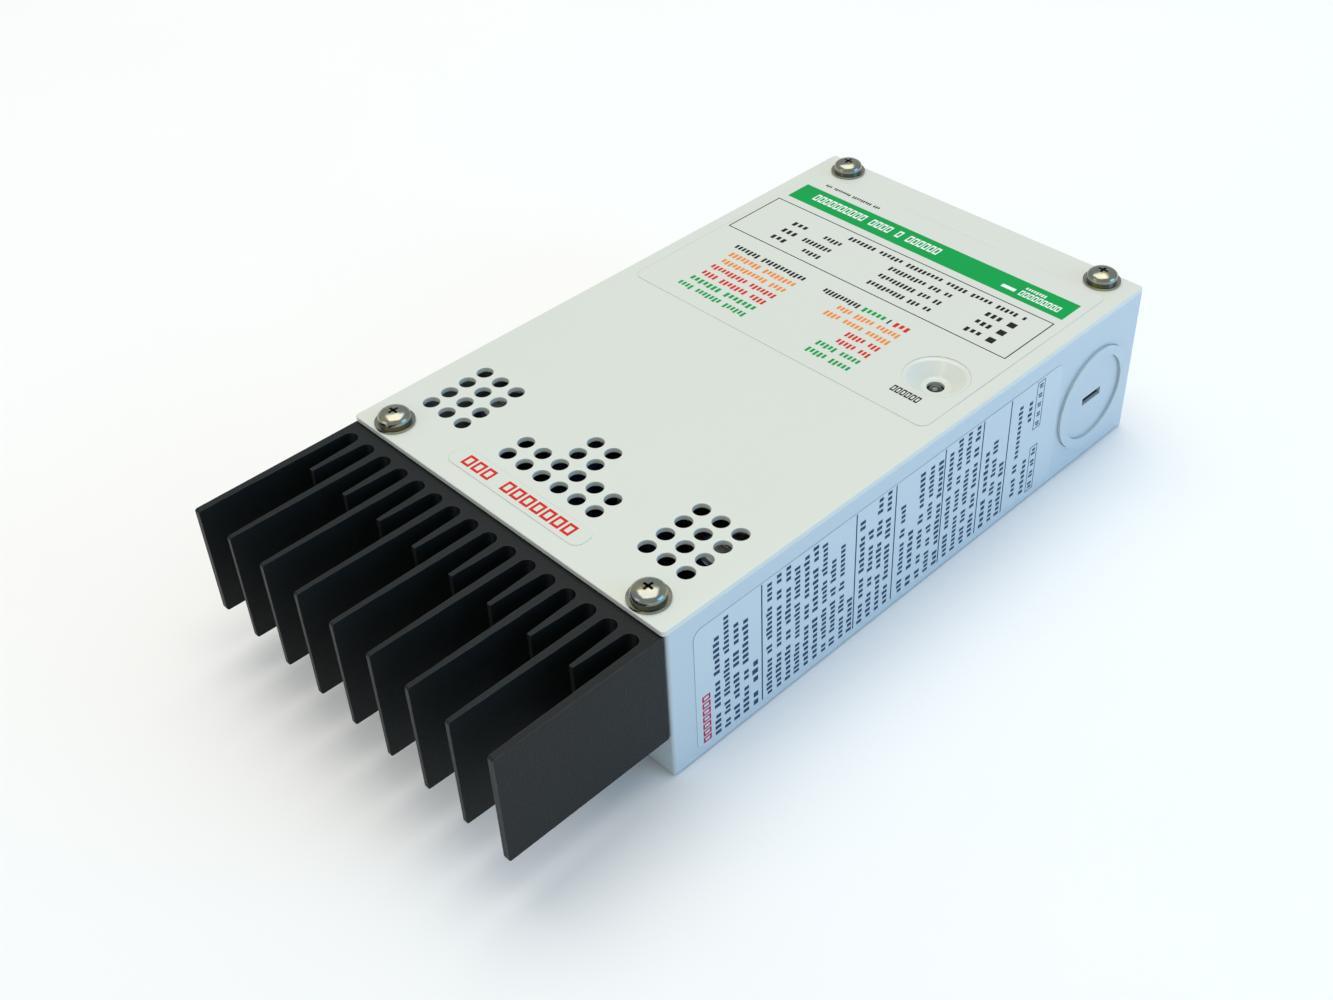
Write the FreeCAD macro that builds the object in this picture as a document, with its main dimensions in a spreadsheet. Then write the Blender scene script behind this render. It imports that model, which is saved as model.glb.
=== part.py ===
import FreeCAD, Part
import os
import re
import Sketcher

# A wall-mounted solar charge controller: a folded steel case with a flat steel cover, a finned
# aluminium heat sink on one end, and inside them a circuit board with the cable terminals,
# settings, power transistors and control electronics.
#
# The case lies on its back. +Z runs out of the back towards the cover, +Y towards the heat sink
# (up when it hangs on a wall) and +X to the right of a reader who faces the cover. The origin is
# under the middle of the whole length, on the plane of the back.

Vector = FreeCAD.Vector
Rotation = FreeCAD.Rotation

doc = FreeCAD.newDocument("ChargeController")
sheet = doc.addObject("Spreadsheet::Sheet", "Dims")
dimension_names = []


def dimension(name, value, meaning):
    """Add one driving dimension to the sheet: its meaning, its value in millimetres, its alias."""
    row = len(dimension_names) + 1
    sheet.set(f"A{row}", meaning)
    sheet.set(f"B{row}", str(value))
    sheet.setAlias(f"B{row}", name)
    dimension_names.append(name)


# The case, its cover and the heat sink
dimension("case_width", 125.5, "outside width of the case")
dimension("case_length", 203.5, "outside length of the case, end wall to end wall")
dimension("case_depth", 53, "back of the case to the face of the cover")
dimension("case_sheet", 1.2, "sheet of the case")
dimension("cover_sheet", 1.5, "sheet of the cover")
dimension("bend_radius", 0.9, "outside radius of the case's bends")
dimension("side_lip", 5, "width of the lip along each side wall")
dimension("end_lip", 10.5, "width of the lip along each end wall")
dimension("cover_overhang", 1, "how far the cover reaches over the heat sink")
dimension("cover_corner", 1.2, "corner radius of the cover")
dimension("cover_edge", 0.35, "rounding of the cover's top edge")
dimension("sink_reach", 53, "how far the long fins stand out of the case")
dimension("sink_width", 124.5, "width of the heat sink")
dimension("sink_height", 36.1, "length of the extrusion, along the case's depth")
dimension("sink_top_gap", 0.4, "gap between the heat sink and the cover")
dimension("sink_base", 4.5, "thickness of the heat sink's base at the bottom of the slots")
dimension("short_reach", 22.2, "how far the short fins stand out of the case")
dimension("fin_root", 2.6, "thickness of a fin at its root")
dimension("fin_tip", 1.3, "thickness of a fin at its tip")
dimension("fin_corner", 0.8, "rounding of the corners of the fins' tips")
dimension("sink_corner", 1.2, "rounding of the base's corners next to the case")

# Cover screws, their washers and clinch nuts
dimension("screw_spread", 103, "distance between the cover screws across the case")
dimension("screw_inset_terminal", 6, "cover screws to the outside of the terminal end wall")
dimension("screw_inset_sink", 5, "cover screws to the outside of the heat sink end wall")
dimension("screw_shank", 4.7, "diameter of a cover screw's thread")
dimension("screw_head", 9.4, "diameter of a cover screw's head")
dimension("screw_head_height", 2.9, "height of a cover screw's head")
dimension("screw_length", 11, "length of a cover screw under its head")
dimension("recess_width", 0.9, "width of each arm of a cross recess")
dimension("recess_span", 4.2, "span of a cross recess")
dimension("recess_depth", 1.6, "depth of a cross recess")
dimension("flat_washer", 11.5, "outside diameter of a flat washer")
dimension("flat_washer_sheet", 0.8, "thickness of a flat washer")
dimension("lock_washer", 8.9, "outside diameter of a split lock washer")
dimension("lock_washer_height", 0.6, "height of a split lock washer")
dimension("washer_play", 0.2, "radial play of a washer or a hole round its screw")
dimension("nut_body", 7.4, "diameter of a clinch nut's body, under the lip")
dimension("nut_collar", 6.4, "diameter of a clinch nut's collar, in the lip")
dimension("nut_height", 3, "height of a clinch nut's body")
dimension("thread_play", 0.1, "radial play that stands in for a thread")

# Ventilation holes in the cover
dimension("vent_hole", 4.9, "diameter of a ventilation hole")
dimension("vent_pitch_x", 7.05, "pitch of the holes across the case")
dimension("vent_pitch_y", 6.5, "pitch of the rows along the case")
dimension("vent_side", 44.5, "middle of a side cluster from the case's middle")
dimension("vent_first_row", 17.7, "last row of holes to the heat sink end wall")
dimension("vent_edge", 0.25, "rounding of the holes' edges")

# The dish pressed into the cover for the status light
dimension("dish_x", -45.5, "middle of the dish across the case")
dimension("dish_from_terminal", 79.6, "middle of the dish to the terminal end wall")
dimension("dish_mouth", 8.8, "radius of the dish at the face of the cover")
dimension("dish_floor", 4.2, "radius of the dish's floor")
dimension("dish_depth", 3.6, "depth of the dish")
dimension("dish_skin", 1.1, "thickness of the pressed metal of the dish")
dimension("dish_round", 1.6, "rounding of the dish's mouth and floor")

# Printed labels
dimension("label_sheet", 0.15, "thickness of a label")
dimension("front_label_width", 116, "width of the front label")
dimension("front_label_start", 12.5, "front label to the terminal end wall")
dimension("front_label_end", 101, "far edge of the front label to the terminal end wall")
dimension("front_label_cut", 9.9, "radius of the cut-out round the dish")
dimension("label_corner", 3, "corner radius of the labels")
dimension("vent_label_x", 2, "middle of the small label across the case")
dimension("vent_label_width", 54, "width of the small label")
dimension("vent_label_height", 7.4, "height of the small label")
dimension("vent_label_inset", 8.3, "middle of the small label to the heat sink end wall")
dimension("side_label_start", 40.5, "side label to the terminal end wall")
dimension("side_label_end", 195, "far edge of the side label to the terminal end wall")
dimension("side_label_low", 2.6, "lower edge of the side label above the back")
dimension("side_label_high", 46, "upper edge of the side label above the back")

# Knockouts for cable fittings
dimension("knockout_outer", 17.45, "radius of the outer knockout ring")
dimension("knockout_inner", 14.3, "radius of the inner knockout disc")
dimension("knockout_cut", 0.12, "width of the sheared gap round a knockout")
dimension("knockout_lift", 0.95, "how far the ring is pushed out of the sheet")
dimension("knockout_tie", 3, "width of the ties that hold a knockout")
dimension("knockout_slot_long", 9.6, "length of the screwdriver slot")
dimension("knockout_slot_wide", 2.8, "width of the screwdriver slot")
dimension("side_knockout_inset", 21.8, "side knockout to the terminal end wall")
dimension("side_knockout_height", 23.2, "side knockout above the back")
dimension("end_knockout_x", 30, "end knockouts to the case's middle")

# Wall fixing and the circuit board
dimension("wall_hole", 5.5, "diameter of a wall fixing hole")
dimension("wall_hole_x", 100, "wall holes, hole to hole across the case")
dimension("wall_hole_inset", 18, "wall holes to the end walls")
dimension("standoff_height", 6, "height of a board standoff")
dimension("standoff_flats", 5.5, "width across the flats of a standoff")
dimension("standoff_inset", 7, "outer standoffs to the board's side edges")
dimension("standoff_near_x", 33, "standoffs at the heat sink end to the case's middle")
dimension("standoff_clear", 1.5, "first left standoff's screw to the terminal housing")
dimension("standoff_last", 13, "last standoffs to the board's far end")
dimension("board_thick", 1.6, "thickness of the circuit board")
dimension("board_side_gap", 3, "board to the inside of the side walls")
dimension("board_start", 40, "board to the outside of the terminal end wall")
dimension("board_gap", 1, "board to the inside of the heat sink end wall")
dimension("board_notch_x", 41, "corner notches to the case's middle")
dimension("board_notch_y", 26, "corner notches to the heat sink end wall")
dimension("board_screw", 2.8, "diameter of a board screw's thread")
dimension("board_screw_head", 5.6, "diameter of a board screw's head")
dimension("board_screw_head_height", 2.1, "height of a board screw's head")
dimension("board_screw_length", 5, "length of a board screw under its head")

# Power transistors on the heat sink
dimension("transistor_pitch", 12.5, "pitch of the power transistors")
dimension("transistor_width", 10.2, "width of a power transistor")
dimension("transistor_low", 20, "bottom of the transistors above the back")
dimension("transistor_body", 9.2, "height of a transistor's plastic body")
dimension("transistor_tab", 15.8, "height of a transistor's metal tab")
dimension("tab_sheet", 1.3, "thickness of the metal tab")
dimension("body_thick", 3.2, "thickness of the plastic body in front of the tab")
dimension("tab_hole", 3.6, "diameter of the hole in the tab")
dimension("tab_screw", 2.9, "diameter of a transistor screw's thread")
dimension("tab_screw_head", 5.4, "diameter of a transistor screw's head")
dimension("tab_screw_head_height", 2, "height of a transistor screw's head")
dimension("tab_screw_bite", 3.2, "how far a transistor screw runs into the heat sink")
dimension("leg_pitch", 2.54, "pitch of a transistor's legs")
dimension("leg_wide", 0.9, "width of a transistor's leg")
dimension("leg_thick", 0.5, "thickness of a transistor's leg")
dimension("pad_sheet", 0.3, "thickness of the thermal pad")
dimension("pad_margin", 2, "thermal pad beyond the transistors")
dimension("window_margin", 1.2, "window beyond the thermal pad")
dimension("sink_screw", 3.8, "diameter of a heat sink screw's thread")
dimension("sink_screw_head", 7, "diameter of a heat sink screw's head")
dimension("sink_screw_head_height", 2.4, "height of a heat sink screw's head")
dimension("sink_screw_bite", 3.6, "how far a heat sink screw runs into the base")
dimension("sink_screw_x", 52, "heat sink screws to the case's middle")
dimension("sink_screw_low", 7, "lower heat sink screws above the end of the extrusion")
dimension("sink_screw_clear", 2.7, "upper heat sink screws' heads to the cover screws' tips")

# Cable terminals
dimension("terminal_pitch", 20, "pitch of the cable terminals")
dimension("terminal_wall", 2, "wall of the terminal housing")
dimension("terminal_depth", 22, "terminal housing along the case")
dimension("terminal_height", 24, "height of the terminal housing")
dimension("terminal_setback", 1.5, "terminal housing to the board's end")
dimension("lug_width", 13, "width of a terminal lug")
dimension("lug_height", 13, "height of a terminal lug")
dimension("lug_wall", 2.4, "wall of a terminal lug")
dimension("lug_floor", 3, "terminal lug above the board")
dimension("lug_play", 0.2, "play of a lug in its bay")
dimension("clamp_screw", 6.8, "diameter of a terminal clamp screw")
dimension("clamp_screw_length", 9, "length of a terminal clamp screw")
dimension("clamp_screw_start", 2, "thread already in the lug when the terminal is open")
dimension("clamp_slot", 1.4, "width of the slot in a clamp screw")
dimension("access_hole", 9, "diameter of the screwdriver hole over a clamp screw")
dimension("ground_block_width", 10, "width of the ground lug")
dimension("ground_block_length", 13, "length of the ground lug")
dimension("ground_block_height", 11, "height of the ground lug")
dimension("ground_bore", 6.4, "diameter of the ground wire hole")
dimension("ground_from_terminal", 24, "ground lug to the terminal end wall")
dimension("ground_screw", 5.4, "diameter of the ground screw")
dimension("ground_screw_length", 7, "length of the ground screw")

# Settings: dials, reset button, jumpers and sockets
dimension("dial_x", 45, "middle of the dials across the case")
dimension("dial_base", 9.8, "side of a dial's potentiometer body")
dimension("dial_base_height", 5, "height of the potentiometer body")
dimension("dial_gap", 0.4, "gap under a dial's knob")
dimension("dial_knob", 12, "diameter of a dial's knob")
dimension("dial_knob_height", 8.5, "height of a dial's knob")
dimension("dial_spindle", 3.9, "diameter of a dial's spindle")
dimension("spindle_play", 0.05, "radial play of a spindle")
dimension("spindle_depth", 3.6, "spindle inside the potentiometer body")
dimension("dial_flute", 0.5, "radius of the flutes round a knob")
dimension("reset_x", -45, "middle of the reset switch across the case")
dimension("reset_base", 12, "side of the reset switch's body")
dimension("reset_base_height", 4, "height of the reset switch's body")
dimension("reset_button", 6.6, "diameter of the reset button")
dimension("reset_button_height", 6.4, "height of the reset button above the body")
dimension("reset_sink", 2.2, "reset button inside the body")
dimension("reset_play", 0.1, "radial play of the reset button")
dimension("header_pitch", 2.54, "pitch of the jumper pins")
dimension("header_base", 2.5, "width and height of a header's plastic base")
dimension("header_pin", 0.64, "side of a jumper pin")
dimension("header_pin_height", 7.8, "jumper pins above the board")
dimension("header_x", -45, "middle of the headers across the case")
dimension("shunt_cap_width", 5, "length of a jumper cap")
dimension("shunt_cap_depth", 2.4, "width of a jumper cap")
dimension("shunt_cap_height", 6, "height of a jumper cap")
dimension("shunt_cap_play", 0.06, "play of a jumper cap round its pins")
dimension("socket_height", 13, "height of the socket housings")
dimension("socket_depth", 16, "socket housings along the case")
dimension("sensor_socket_width", 11.2, "width of the temperature sensor socket")
dimension("meter_socket_width", 13.2, "width of the remote meter socket")
dimension("socket_wall", 1.6, "side wall of a socket")
dimension("socket_floor", 2.2, "floor of a socket")
dimension("socket_mouth_height", 7.2, "height of a socket's mouth")
dimension("socket_mouth_depth", 12, "depth of a socket's mouth")
dimension("contact_pitch", 1.27, "pitch of the socket contacts")
dimension("contact_wire", 0.4, "side of a socket contact")

# Status light
dimension("light_body", 5, "diameter of the status light")
dimension("light_flange", 5.8, "diameter of the status light's flange")
dimension("light_flange_height", 1, "height of the status light's flange")
dimension("light_height", 8.4, "height of the status light")
dimension("light_rise", 0.2, "status light above the dish's floor")
dimension("light_play", 0.15, "radial play of the status light in the cover")
dimension("spacer_outside", 6.4, "outside diameter of the light's spacer")
dimension("spacer_bore", 3.6, "bore of the light's spacer")
dimension("light_lead", 0.5, "side of the status light's leads")

# Other electronics
dimension("capacitor", 18, "diameter of a power capacitor")
dimension("capacitor_height", 34, "height of a power capacitor")
dimension("capacitor_crown", 1.2, "rounding of a power capacitor's top")
dimension("capacitor_gap", 4.5, "power capacitors to the corner notches")
dimension("capacitor_x", 45.5, "outer power capacitors to the case's middle")
dimension("capacitor_near_x", 14.5, "inner power capacitors to the case's middle")
dimension("bar_x", 26, "busbars to the case's middle")
dimension("bar_width", 2, "thickness of a busbar")
dimension("bar_height", 8, "height of a busbar")
dimension("bar_past", 10, "busbars beyond the power capacitors")
dimension("shunt_length", 30, "length of the current shunt")
dimension("shunt_width", 6, "width of the current shunt")
dimension("shunt_sheet", 1.2, "thickness of the current shunt")
dimension("shunt_rise", 5, "height of the current shunt's bridge")
dimension("chip_socket_side", 20, "side of the controller's socket")
dimension("chip_socket_height", 5, "height of the controller's socket")
dimension("chip_side", 16.6, "side of the controller chip")
dimension("chip_height", 3.8, "height of the controller chip")
dimension("regulator_depth", 13.5, "voltage regulator and its fin along the case")
dimension("small_chip_length", 9.6, "length of a small chip")
dimension("resistor_span", 9.2, "length of a resistor with its wires")
dimension("small_capacitor", 8, "diameter of a small capacitor")
dimension("small_capacitor_height", 12, "height of a small capacitor")
dimension("suppressor_gap", 4, "surge suppressors to the power capacitors")

# The rings of the end knockouts stand out beyond the terminal end wall, so the whole length is
# theirs too.
TERMINAL_END = "(-(case_length + sink_reach - knockout_lift)/2)"
SINK_END = "((case_length - sink_reach + knockout_lift)/2)"
LID_SEAT = "(case_depth - cover_sheet)"
BOARD_TOP = "(case_sheet + standoff_height + board_thick)"
BOARD_END = f"({TERMINAL_END} + board_start)"
DISH_Y = f"({TERMINAL_END} + dish_from_terminal)"
SINK_LOW = f"({LID_SEAT} - sink_top_gap - sink_height)"
HEAD_SEAT = "(case_depth + flat_washer_sheet + lock_washer_height)"


def bound(text):
    """The expression with each driving dimension's name pointed at its cell in the sheet."""
    return re.sub(r"[a-z_]+", lambda word: "Dims." + word.group()
                  if word.group() in dimension_names else word.group(), str(text))


def size_of(text):
    """The number that an expression comes to."""
    return float(sheet.evalExpression(bound(text)))


doc.recompute()

# ---------------------------------------------------------------------------------------------
# Ways of making solids, with every size bound to the sheet
# ---------------------------------------------------------------------------------------------


def put(piece, x, y, z):
    """Bind the place of a piece."""
    for letter, text in (("x", x), ("y", y), ("z", z)):
        piece.setExpression(f"Placement.Base.{letter}", bound(text))
    return piece


def block(name, size, at):
    """A box with the middle of its lower face at a place."""
    piece = doc.addObject("Part::Box", name)
    for edge, text in zip(("Length", "Width", "Height"), size):
        piece.setExpression(edge, bound(text))
    return put(piece, f"{at[0]} - ({size[0]})/2", f"{at[1]} - ({size[1]})/2", at[2])


TURNS = {"z": Rotation(), "y": Rotation(Vector(1, 0, 0), -90), "x": Rotation(Vector(0, 1, 0), 90)}


def rod(name, radius, length, at, along="z"):
    """A cylinder that starts at a place and runs along an axis."""
    piece = doc.addObject("Part::Cylinder", name)
    piece.setExpression("Radius", bound(radius))
    piece.setExpression("Height", bound(length))
    piece.Placement = FreeCAD.Placement(Vector(), TURNS[along])
    return put(piece, *at)


def joined(name, *pieces):
    piece = doc.addObject("Part::MultiFuse", name)
    piece.Shapes = list(pieces)
    return piece


def less(name, base, *tools):
    """A base with one or more tools cut away from it."""
    piece = doc.addObject("Part::Cut", name)
    piece.Base = base
    piece.Tool = tools[0] if len(tools) == 1 else joined(name + "_cuts", *tools)
    return piece


def together(name, *pieces):
    """Separate solids kept in one node."""
    piece = doc.addObject("Part::Compound", name)
    piece.Links = list(pieces)
    return piece


def copies(name, master, places, turn=None):
    """One node with a copy of the master at each place."""
    links = []
    for number, place in enumerate(places, 1):
        link = doc.addObject("App::Link", f"{name}_copy_{number}")
        link.LinkedObject = master
        if turn is not None:
            link.Placement = FreeCAD.Placement(Vector(), turn[number - 1] if isinstance(turn, list)
                                               else turn)
        links.append(put(link, *place))
    return together(name, *links)


def sketch_on(body, name, plane="XY_Plane", shift=(0, 0, 0)):
    """A sketch on one of the body's own origin planes, moved by a shift in its own axes."""
    sketch = body.newObject("Sketcher::SketchObject", name)
    face = next(f for f in body.Origin.OriginFeatures if f.Role == plane)
    sketch.AttachmentSupport = (face, [""])
    sketch.MapMode = "FlatFace"
    for letter, text in zip("xyz", shift):
        sketch.setExpression(f"AttachmentOffset.Base.{letter}", bound(text))
    return sketch


def pin_down(sketch, geometry, end, x, y):
    """Hold a point of the sketch at a bound place."""
    for kind, text in (("DistanceX", x), ("DistanceY", y)):
        number = sketch.addConstraint(
            Sketcher.Constraint(kind, -1, 1, geometry, end, size_of(text)))
        sketch.setExpression(f"Constraints[{number}]", bound(text))


def outline(sketch, points, arcs=()):
    """A closed outline through bound points. A side listed in arcs is a half circle."""
    numbers = [Vector(size_of(x), size_of(y), 0) for x, y in points]
    count = len(points)
    sides = []
    for side in range(count):
        start = numbers[side]
        finish = numbers[(side + 1) % count]
        if side in arcs:
            middle = (start + finish) / 2
            half = (finish - start) / 2
            crown = middle + Vector(half.y, -half.x, 0)
            sides.append(sketch.addGeometry(Part.Arc(start, crown, finish), False))
        else:
            sides.append(sketch.addGeometry(Part.LineSegment(start, finish), False))

    def end_of(side, last):
        if side in arcs:
            arc = sketch.Geometry[sides[side]]
            corner = numbers[(side + 1) % count] if last else numbers[side]
            return 1 if (arc.StartPoint - corner).Length < 1e-6 else 2
        return 2 if last else 1

    for side in range(count):
        after = (side + 1) % count
        sketch.addConstraint(Sketcher.Constraint(
            "Coincident", sides[side], end_of(side, True), sides[after], end_of(after, False)))
    for side, (x, y) in enumerate(points):
        pin_down(sketch, sides[side], end_of(side, False), x, y)
    for side in arcs:
        sketch.addConstraint(Sketcher.Constraint("Symmetric", sides[side], 1, sides[side], 2,
                                                 sides[side], 3))


def rectangle(sketch, low, high):
    outline(sketch, [(low[0], low[1]), (high[0], low[1]), (high[0], high[1]), (low[0], high[1])])


def circle(sketch, x, y, radius):
    number = sketch.addGeometry(
        Part.Circle(Vector(size_of(x), size_of(y), 0), Vector(0, 0, 1), size_of(radius)), False)
    pin_down(sketch, number, 3, x, y)
    limit = sketch.addConstraint(Sketcher.Constraint("Radius", number, size_of(radius)))
    sketch.setExpression(f"Constraints[{limit}]", bound(radius))


def body_named(name):
    return doc.addObject("PartDesign::Body", name)


def pad(body, sketch, length):
    feature = body.newObject("PartDesign::Pad", sketch.Name + "_pad")
    feature.Profile = sketch
    feature.setExpression("Length", bound(length))
    doc.recompute()
    return feature


def pocket(body, sketch, length, backwards=False):
    """Cut a sketch down into the body, and make sure that it took metal away."""
    before = body.Shape.Volume
    feature = body.newObject("PartDesign::Pocket", sketch.Name + "_pocket")
    feature.Profile = sketch
    feature.Reversed = backwards
    feature.setExpression("Length", bound(length))
    doc.recompute()
    if body.Shape.Volume > before - 1e-4:
        raise RuntimeError(sketch.Name + " cuts nothing")
    return feature


def spun(body, sketch, kind="Revolution"):
    """Turn a sketch about its own vertical axis, as added or cut metal."""
    feature = body.newObject("PartDesign::" + kind, sketch.Name + "_turned")
    feature.Profile = sketch
    feature.ReferenceAxis = (sketch, ["V_Axis"])
    feature.Angle = 360
    doc.recompute()
    return feature


def rounded(body, radius, test):
    """Round each edge of the body that passes a test of the edge."""
    base = body.Tip
    names = [f"Edge{n}" for n, edge in enumerate(base.Shape.Edges, 1) if test(edge)]
    if not names:
        raise RuntimeError(body.Name + " has no such edge")
    feature = body.newObject("PartDesign::Fillet", f"{body.Name}_round_{len(body.Group)}")
    feature.Base = (base, names)
    feature.setExpression("Radius", bound(radius))
    doc.recompute()
    return feature


def is_straight(edge, direction):
    """True for a straight edge along a direction."""
    if edge.Curve.TypeId != "Part::GeomLine":
        return False
    return abs(abs(edge.tangentAt(edge.FirstParameter).dot(direction)) - 1) < 1e-6


def at_level(edge, height):
    """True for an edge that lies all at one height."""
    box = edge.BoundBox
    return abs(box.ZMin - height) < 1e-4 and abs(box.ZMax - height) < 1e-4


ALONG_X = Vector(1, 0, 0)
ALONG_Z = Vector(0, 0, 1)

# ---------------------------------------------------------------------------------------------
# Places that several pieces share
# ---------------------------------------------------------------------------------------------

SCREW_PLACES = [(f"{side}*screw_spread/2", y) for side in (-1, 1)
                for y in (f"{TERMINAL_END} + screw_inset_terminal", f"{SINK_END} - screw_inset_sink")]
WALL_HOLES = [(f"{side}*wall_hole_x/2", y) for side in (-1, 1)
              for y in (f"{TERMINAL_END} + wall_hole_inset", f"{SINK_END} - wall_hole_inset")]
BOARD_FAR = f"({SINK_END} - case_sheet - board_gap)"
TRANSISTOR_COUNT = 6
TRANSISTORS = [f"({n - (TRANSISTOR_COUNT - 1)/2})*transistor_pitch" for n in range(TRANSISTOR_COUNT)]
TAB_HOLE_Z = "(transistor_low + (transistor_body + transistor_tab)/2)"
PAD_HALF = f"({(TRANSISTOR_COUNT - 1)/2}*transistor_pitch + transistor_width/2 + pad_margin)"
SINK_SCREWS = [(f"{side}*sink_screw_x", z) for side in (-1, 1)
               for z in (f"{SINK_LOW} + sink_screw_low",
                         f"{HEAD_SEAT} - screw_length - sink_screw_clear - sink_screw_head/2")]
TERMINAL_COUNT = 4
NOTCH_Y = f"({SINK_END} - board_notch_y)"
BOARD_HALF = "(case_width/2 - case_sheet - board_side_gap)"
HOUSING_WIDTH = f"({TERMINAL_COUNT - 1}*terminal_pitch + lug_width + 2*lug_play + 2*terminal_wall)"
TERMINAL_Y = f"({BOARD_END} + terminal_setback + terminal_depth/2)"
CAPACITOR_Y = f"({NOTCH_Y} - capacitor_gap - capacitor/2)"


def spread(start, finish, lengths):
    """The middles of pieces of given lengths, set out with equal gaps between two ends."""
    gap = f"(({finish}) - ({start}) - ({' + '.join(lengths)}))/{len(lengths) + 1}"
    middles = []
    for n, length in enumerate(lengths):
        before = " + ".join(["0"] + lengths[:n])
        middles.append(f"({start} + {n + 1}*{gap} + {before} + ({length})/2)")
    return middles


# Across the cable end of the board: the terminals, then the two sockets
TERMINAL_X, SENSOR_X, METER_X = spread(f"-{BOARD_HALF}", BOARD_HALF, [
    HOUSING_WIDTH, "sensor_socket_width", "meter_socket_width"])
TERMINALS = [f"({TERMINAL_X} + {n - (TERMINAL_COUNT - 1)/2}*terminal_pitch)"
             for n in range(TERMINAL_COUNT)]

# Along the board: a left column, a middle one and a right one, each up to the power capacitors
CAPACITOR_NEAR = f"{CAPACITOR_Y} - capacitor/2"
RESET_Y, MODE_Y, EQUALIZE_Y, LEFT_STANDOFF_Y, VOLTAGE_Y = spread(
    f"{DISH_Y} + spacer_outside/2", CAPACITOR_NEAR,
    ["reset_base", "header_base", "header_base", "board_screw_head", "header_base"])
HOUSING_BACK = f"{TERMINAL_Y} + terminal_depth/2"
SHUNT_Y, CHIP_Y, SMALL_CHIP_Y, RESISTOR_Y = spread(
    HOUSING_BACK, CAPACITOR_NEAR,
    ["shunt_width", "chip_socket_side", "small_chip_length", "resistor_span"])
(FIRST_RIGHT_STANDOFF_Y, BULK_Y, FLOAT_Y, REGULATOR_Y, RIGHT_STANDOFF_Y,
 RIGHT_CAPACITOR_Y) = spread(
    f"{BOARD_END} + socket_depth", CAPACITOR_NEAR,
    ["board_screw_head", "dial_knob", "dial_knob", "regulator_depth", "board_screw_head",
     "small_capacitor"])
STANDOFF_X = f"({BOARD_HALF} - standoff_inset)"
STANDOFFS = [(f"-{STANDOFF_X}", f"{HOUSING_BACK} + standoff_clear + board_screw_head/2"),
             (f"-{STANDOFF_X}", LEFT_STANDOFF_Y), (STANDOFF_X, FIRST_RIGHT_STANDOFF_Y),
             (STANDOFF_X, RIGHT_STANDOFF_Y), ("-standoff_near_x", f"{BOARD_FAR} - standoff_last"),
             ("standoff_near_x", f"{BOARD_FAR} - standoff_last")]
KNOCKOUT_Y = f"({TERMINAL_END} + side_knockout_inset)"

# ---------------------------------------------------------------------------------------------
# Case
# ---------------------------------------------------------------------------------------------

chassis = body_named("chassis")
shell = sketch_on(chassis, "chassis_outside")
rectangle(shell, ("-case_width/2", TERMINAL_END), ("case_width/2", SINK_END))
pad(chassis, shell, LID_SEAT)
rounded(chassis, "bend_radius", lambda edge: is_straight(edge, ALONG_Z) or at_level(edge, 0))

hollow = sketch_on(chassis, "chassis_hollow", shift=(0, 0, f"{LID_SEAT} - case_sheet"))
rectangle(hollow, ("-case_width/2 + case_sheet", f"{TERMINAL_END} + case_sheet"),
          ("case_width/2 - case_sheet", f"{SINK_END} - case_sheet"))
pocket(chassis, hollow, f"{LID_SEAT} - 2*case_sheet")

mouth = sketch_on(chassis, "chassis_mouth", shift=(0, 0, LID_SEAT))
rectangle(mouth, ("-case_width/2 + side_lip", f"{TERMINAL_END} + end_lip"),
          ("case_width/2 - side_lip", f"{SINK_END} - end_lip"))
pocket(chassis, mouth, "case_sheet")

nut_holes = sketch_on(chassis, "chassis_nut_holes", shift=(0, 0, LID_SEAT))
for x, y in SCREW_PLACES:
    circle(nut_holes, x, y, "nut_collar/2")
pocket(chassis, nut_holes, "case_sheet")

wall_holes = sketch_on(chassis, "chassis_wall_holes", shift=(0, 0, "case_sheet"))
for x, y in WALL_HOLES:
    circle(wall_holes, x, y, "wall_hole/2")
pocket(chassis, wall_holes, "case_sheet")

side_holes = sketch_on(chassis, "chassis_side_knockouts", "YZ_Plane", (0, 0, "-case_width/2 - 1"))
circle(side_holes, KNOCKOUT_Y, "side_knockout_height", "knockout_outer + knockout_cut")
pocket(chassis, side_holes, "case_width + 2", backwards=True)

end_holes = sketch_on(chassis, "chassis_end_knockouts", "XZ_Plane",
                      (0, 0, f"-{TERMINAL_END} - 2*case_sheet"))
for side in (-1, 1):
    circle(end_holes, f"{side}*end_knockout_x", "side_knockout_height",
           "knockout_outer + knockout_cut")
pocket(chassis, end_holes, "3*case_sheet", backwards=True)

window = sketch_on(chassis, "chassis_window", "XZ_Plane", (0, 0, f"-{SINK_END} + 2*case_sheet"))
rectangle(window, (f"-{PAD_HALF} - window_margin", "transistor_low - pad_margin - window_margin"),
          (f"{PAD_HALF} + window_margin",
           "transistor_low + transistor_tab + pad_margin + window_margin"))
for x, z in SINK_SCREWS:
    circle(window, x, z, "sink_screw/2 + washer_play")
pocket(chassis, window, "3*case_sheet")

# ---------------------------------------------------------------------------------------------
# Knockouts: a ring and a disc in each hole, sheared nearly through and held by two ties
# ---------------------------------------------------------------------------------------------

ring = body_named("knockout_ring_master")
ring_face = sketch_on(ring, "ring_face")
circle(ring_face, "0", "0", "knockout_outer")
pad(ring, ring_face, "case_sheet")
ring_ties = sketch_on(ring, "ring_ties")
ring_reach = "sqrt((knockout_outer + knockout_cut)^2 - (knockout_tie/2)^2)"
rectangle(ring_ties, (f"-{ring_reach}", "-knockout_tie/2"), (ring_reach, "knockout_tie/2"))
pad(ring, ring_ties, "case_sheet - knockout_lift")
ring_bore = sketch_on(ring, "ring_bore", shift=(0, 0, "case_sheet"))
circle(ring_bore, "0", "0", "knockout_inner + knockout_cut")
pocket(ring, ring_bore, "case_sheet")

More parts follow.
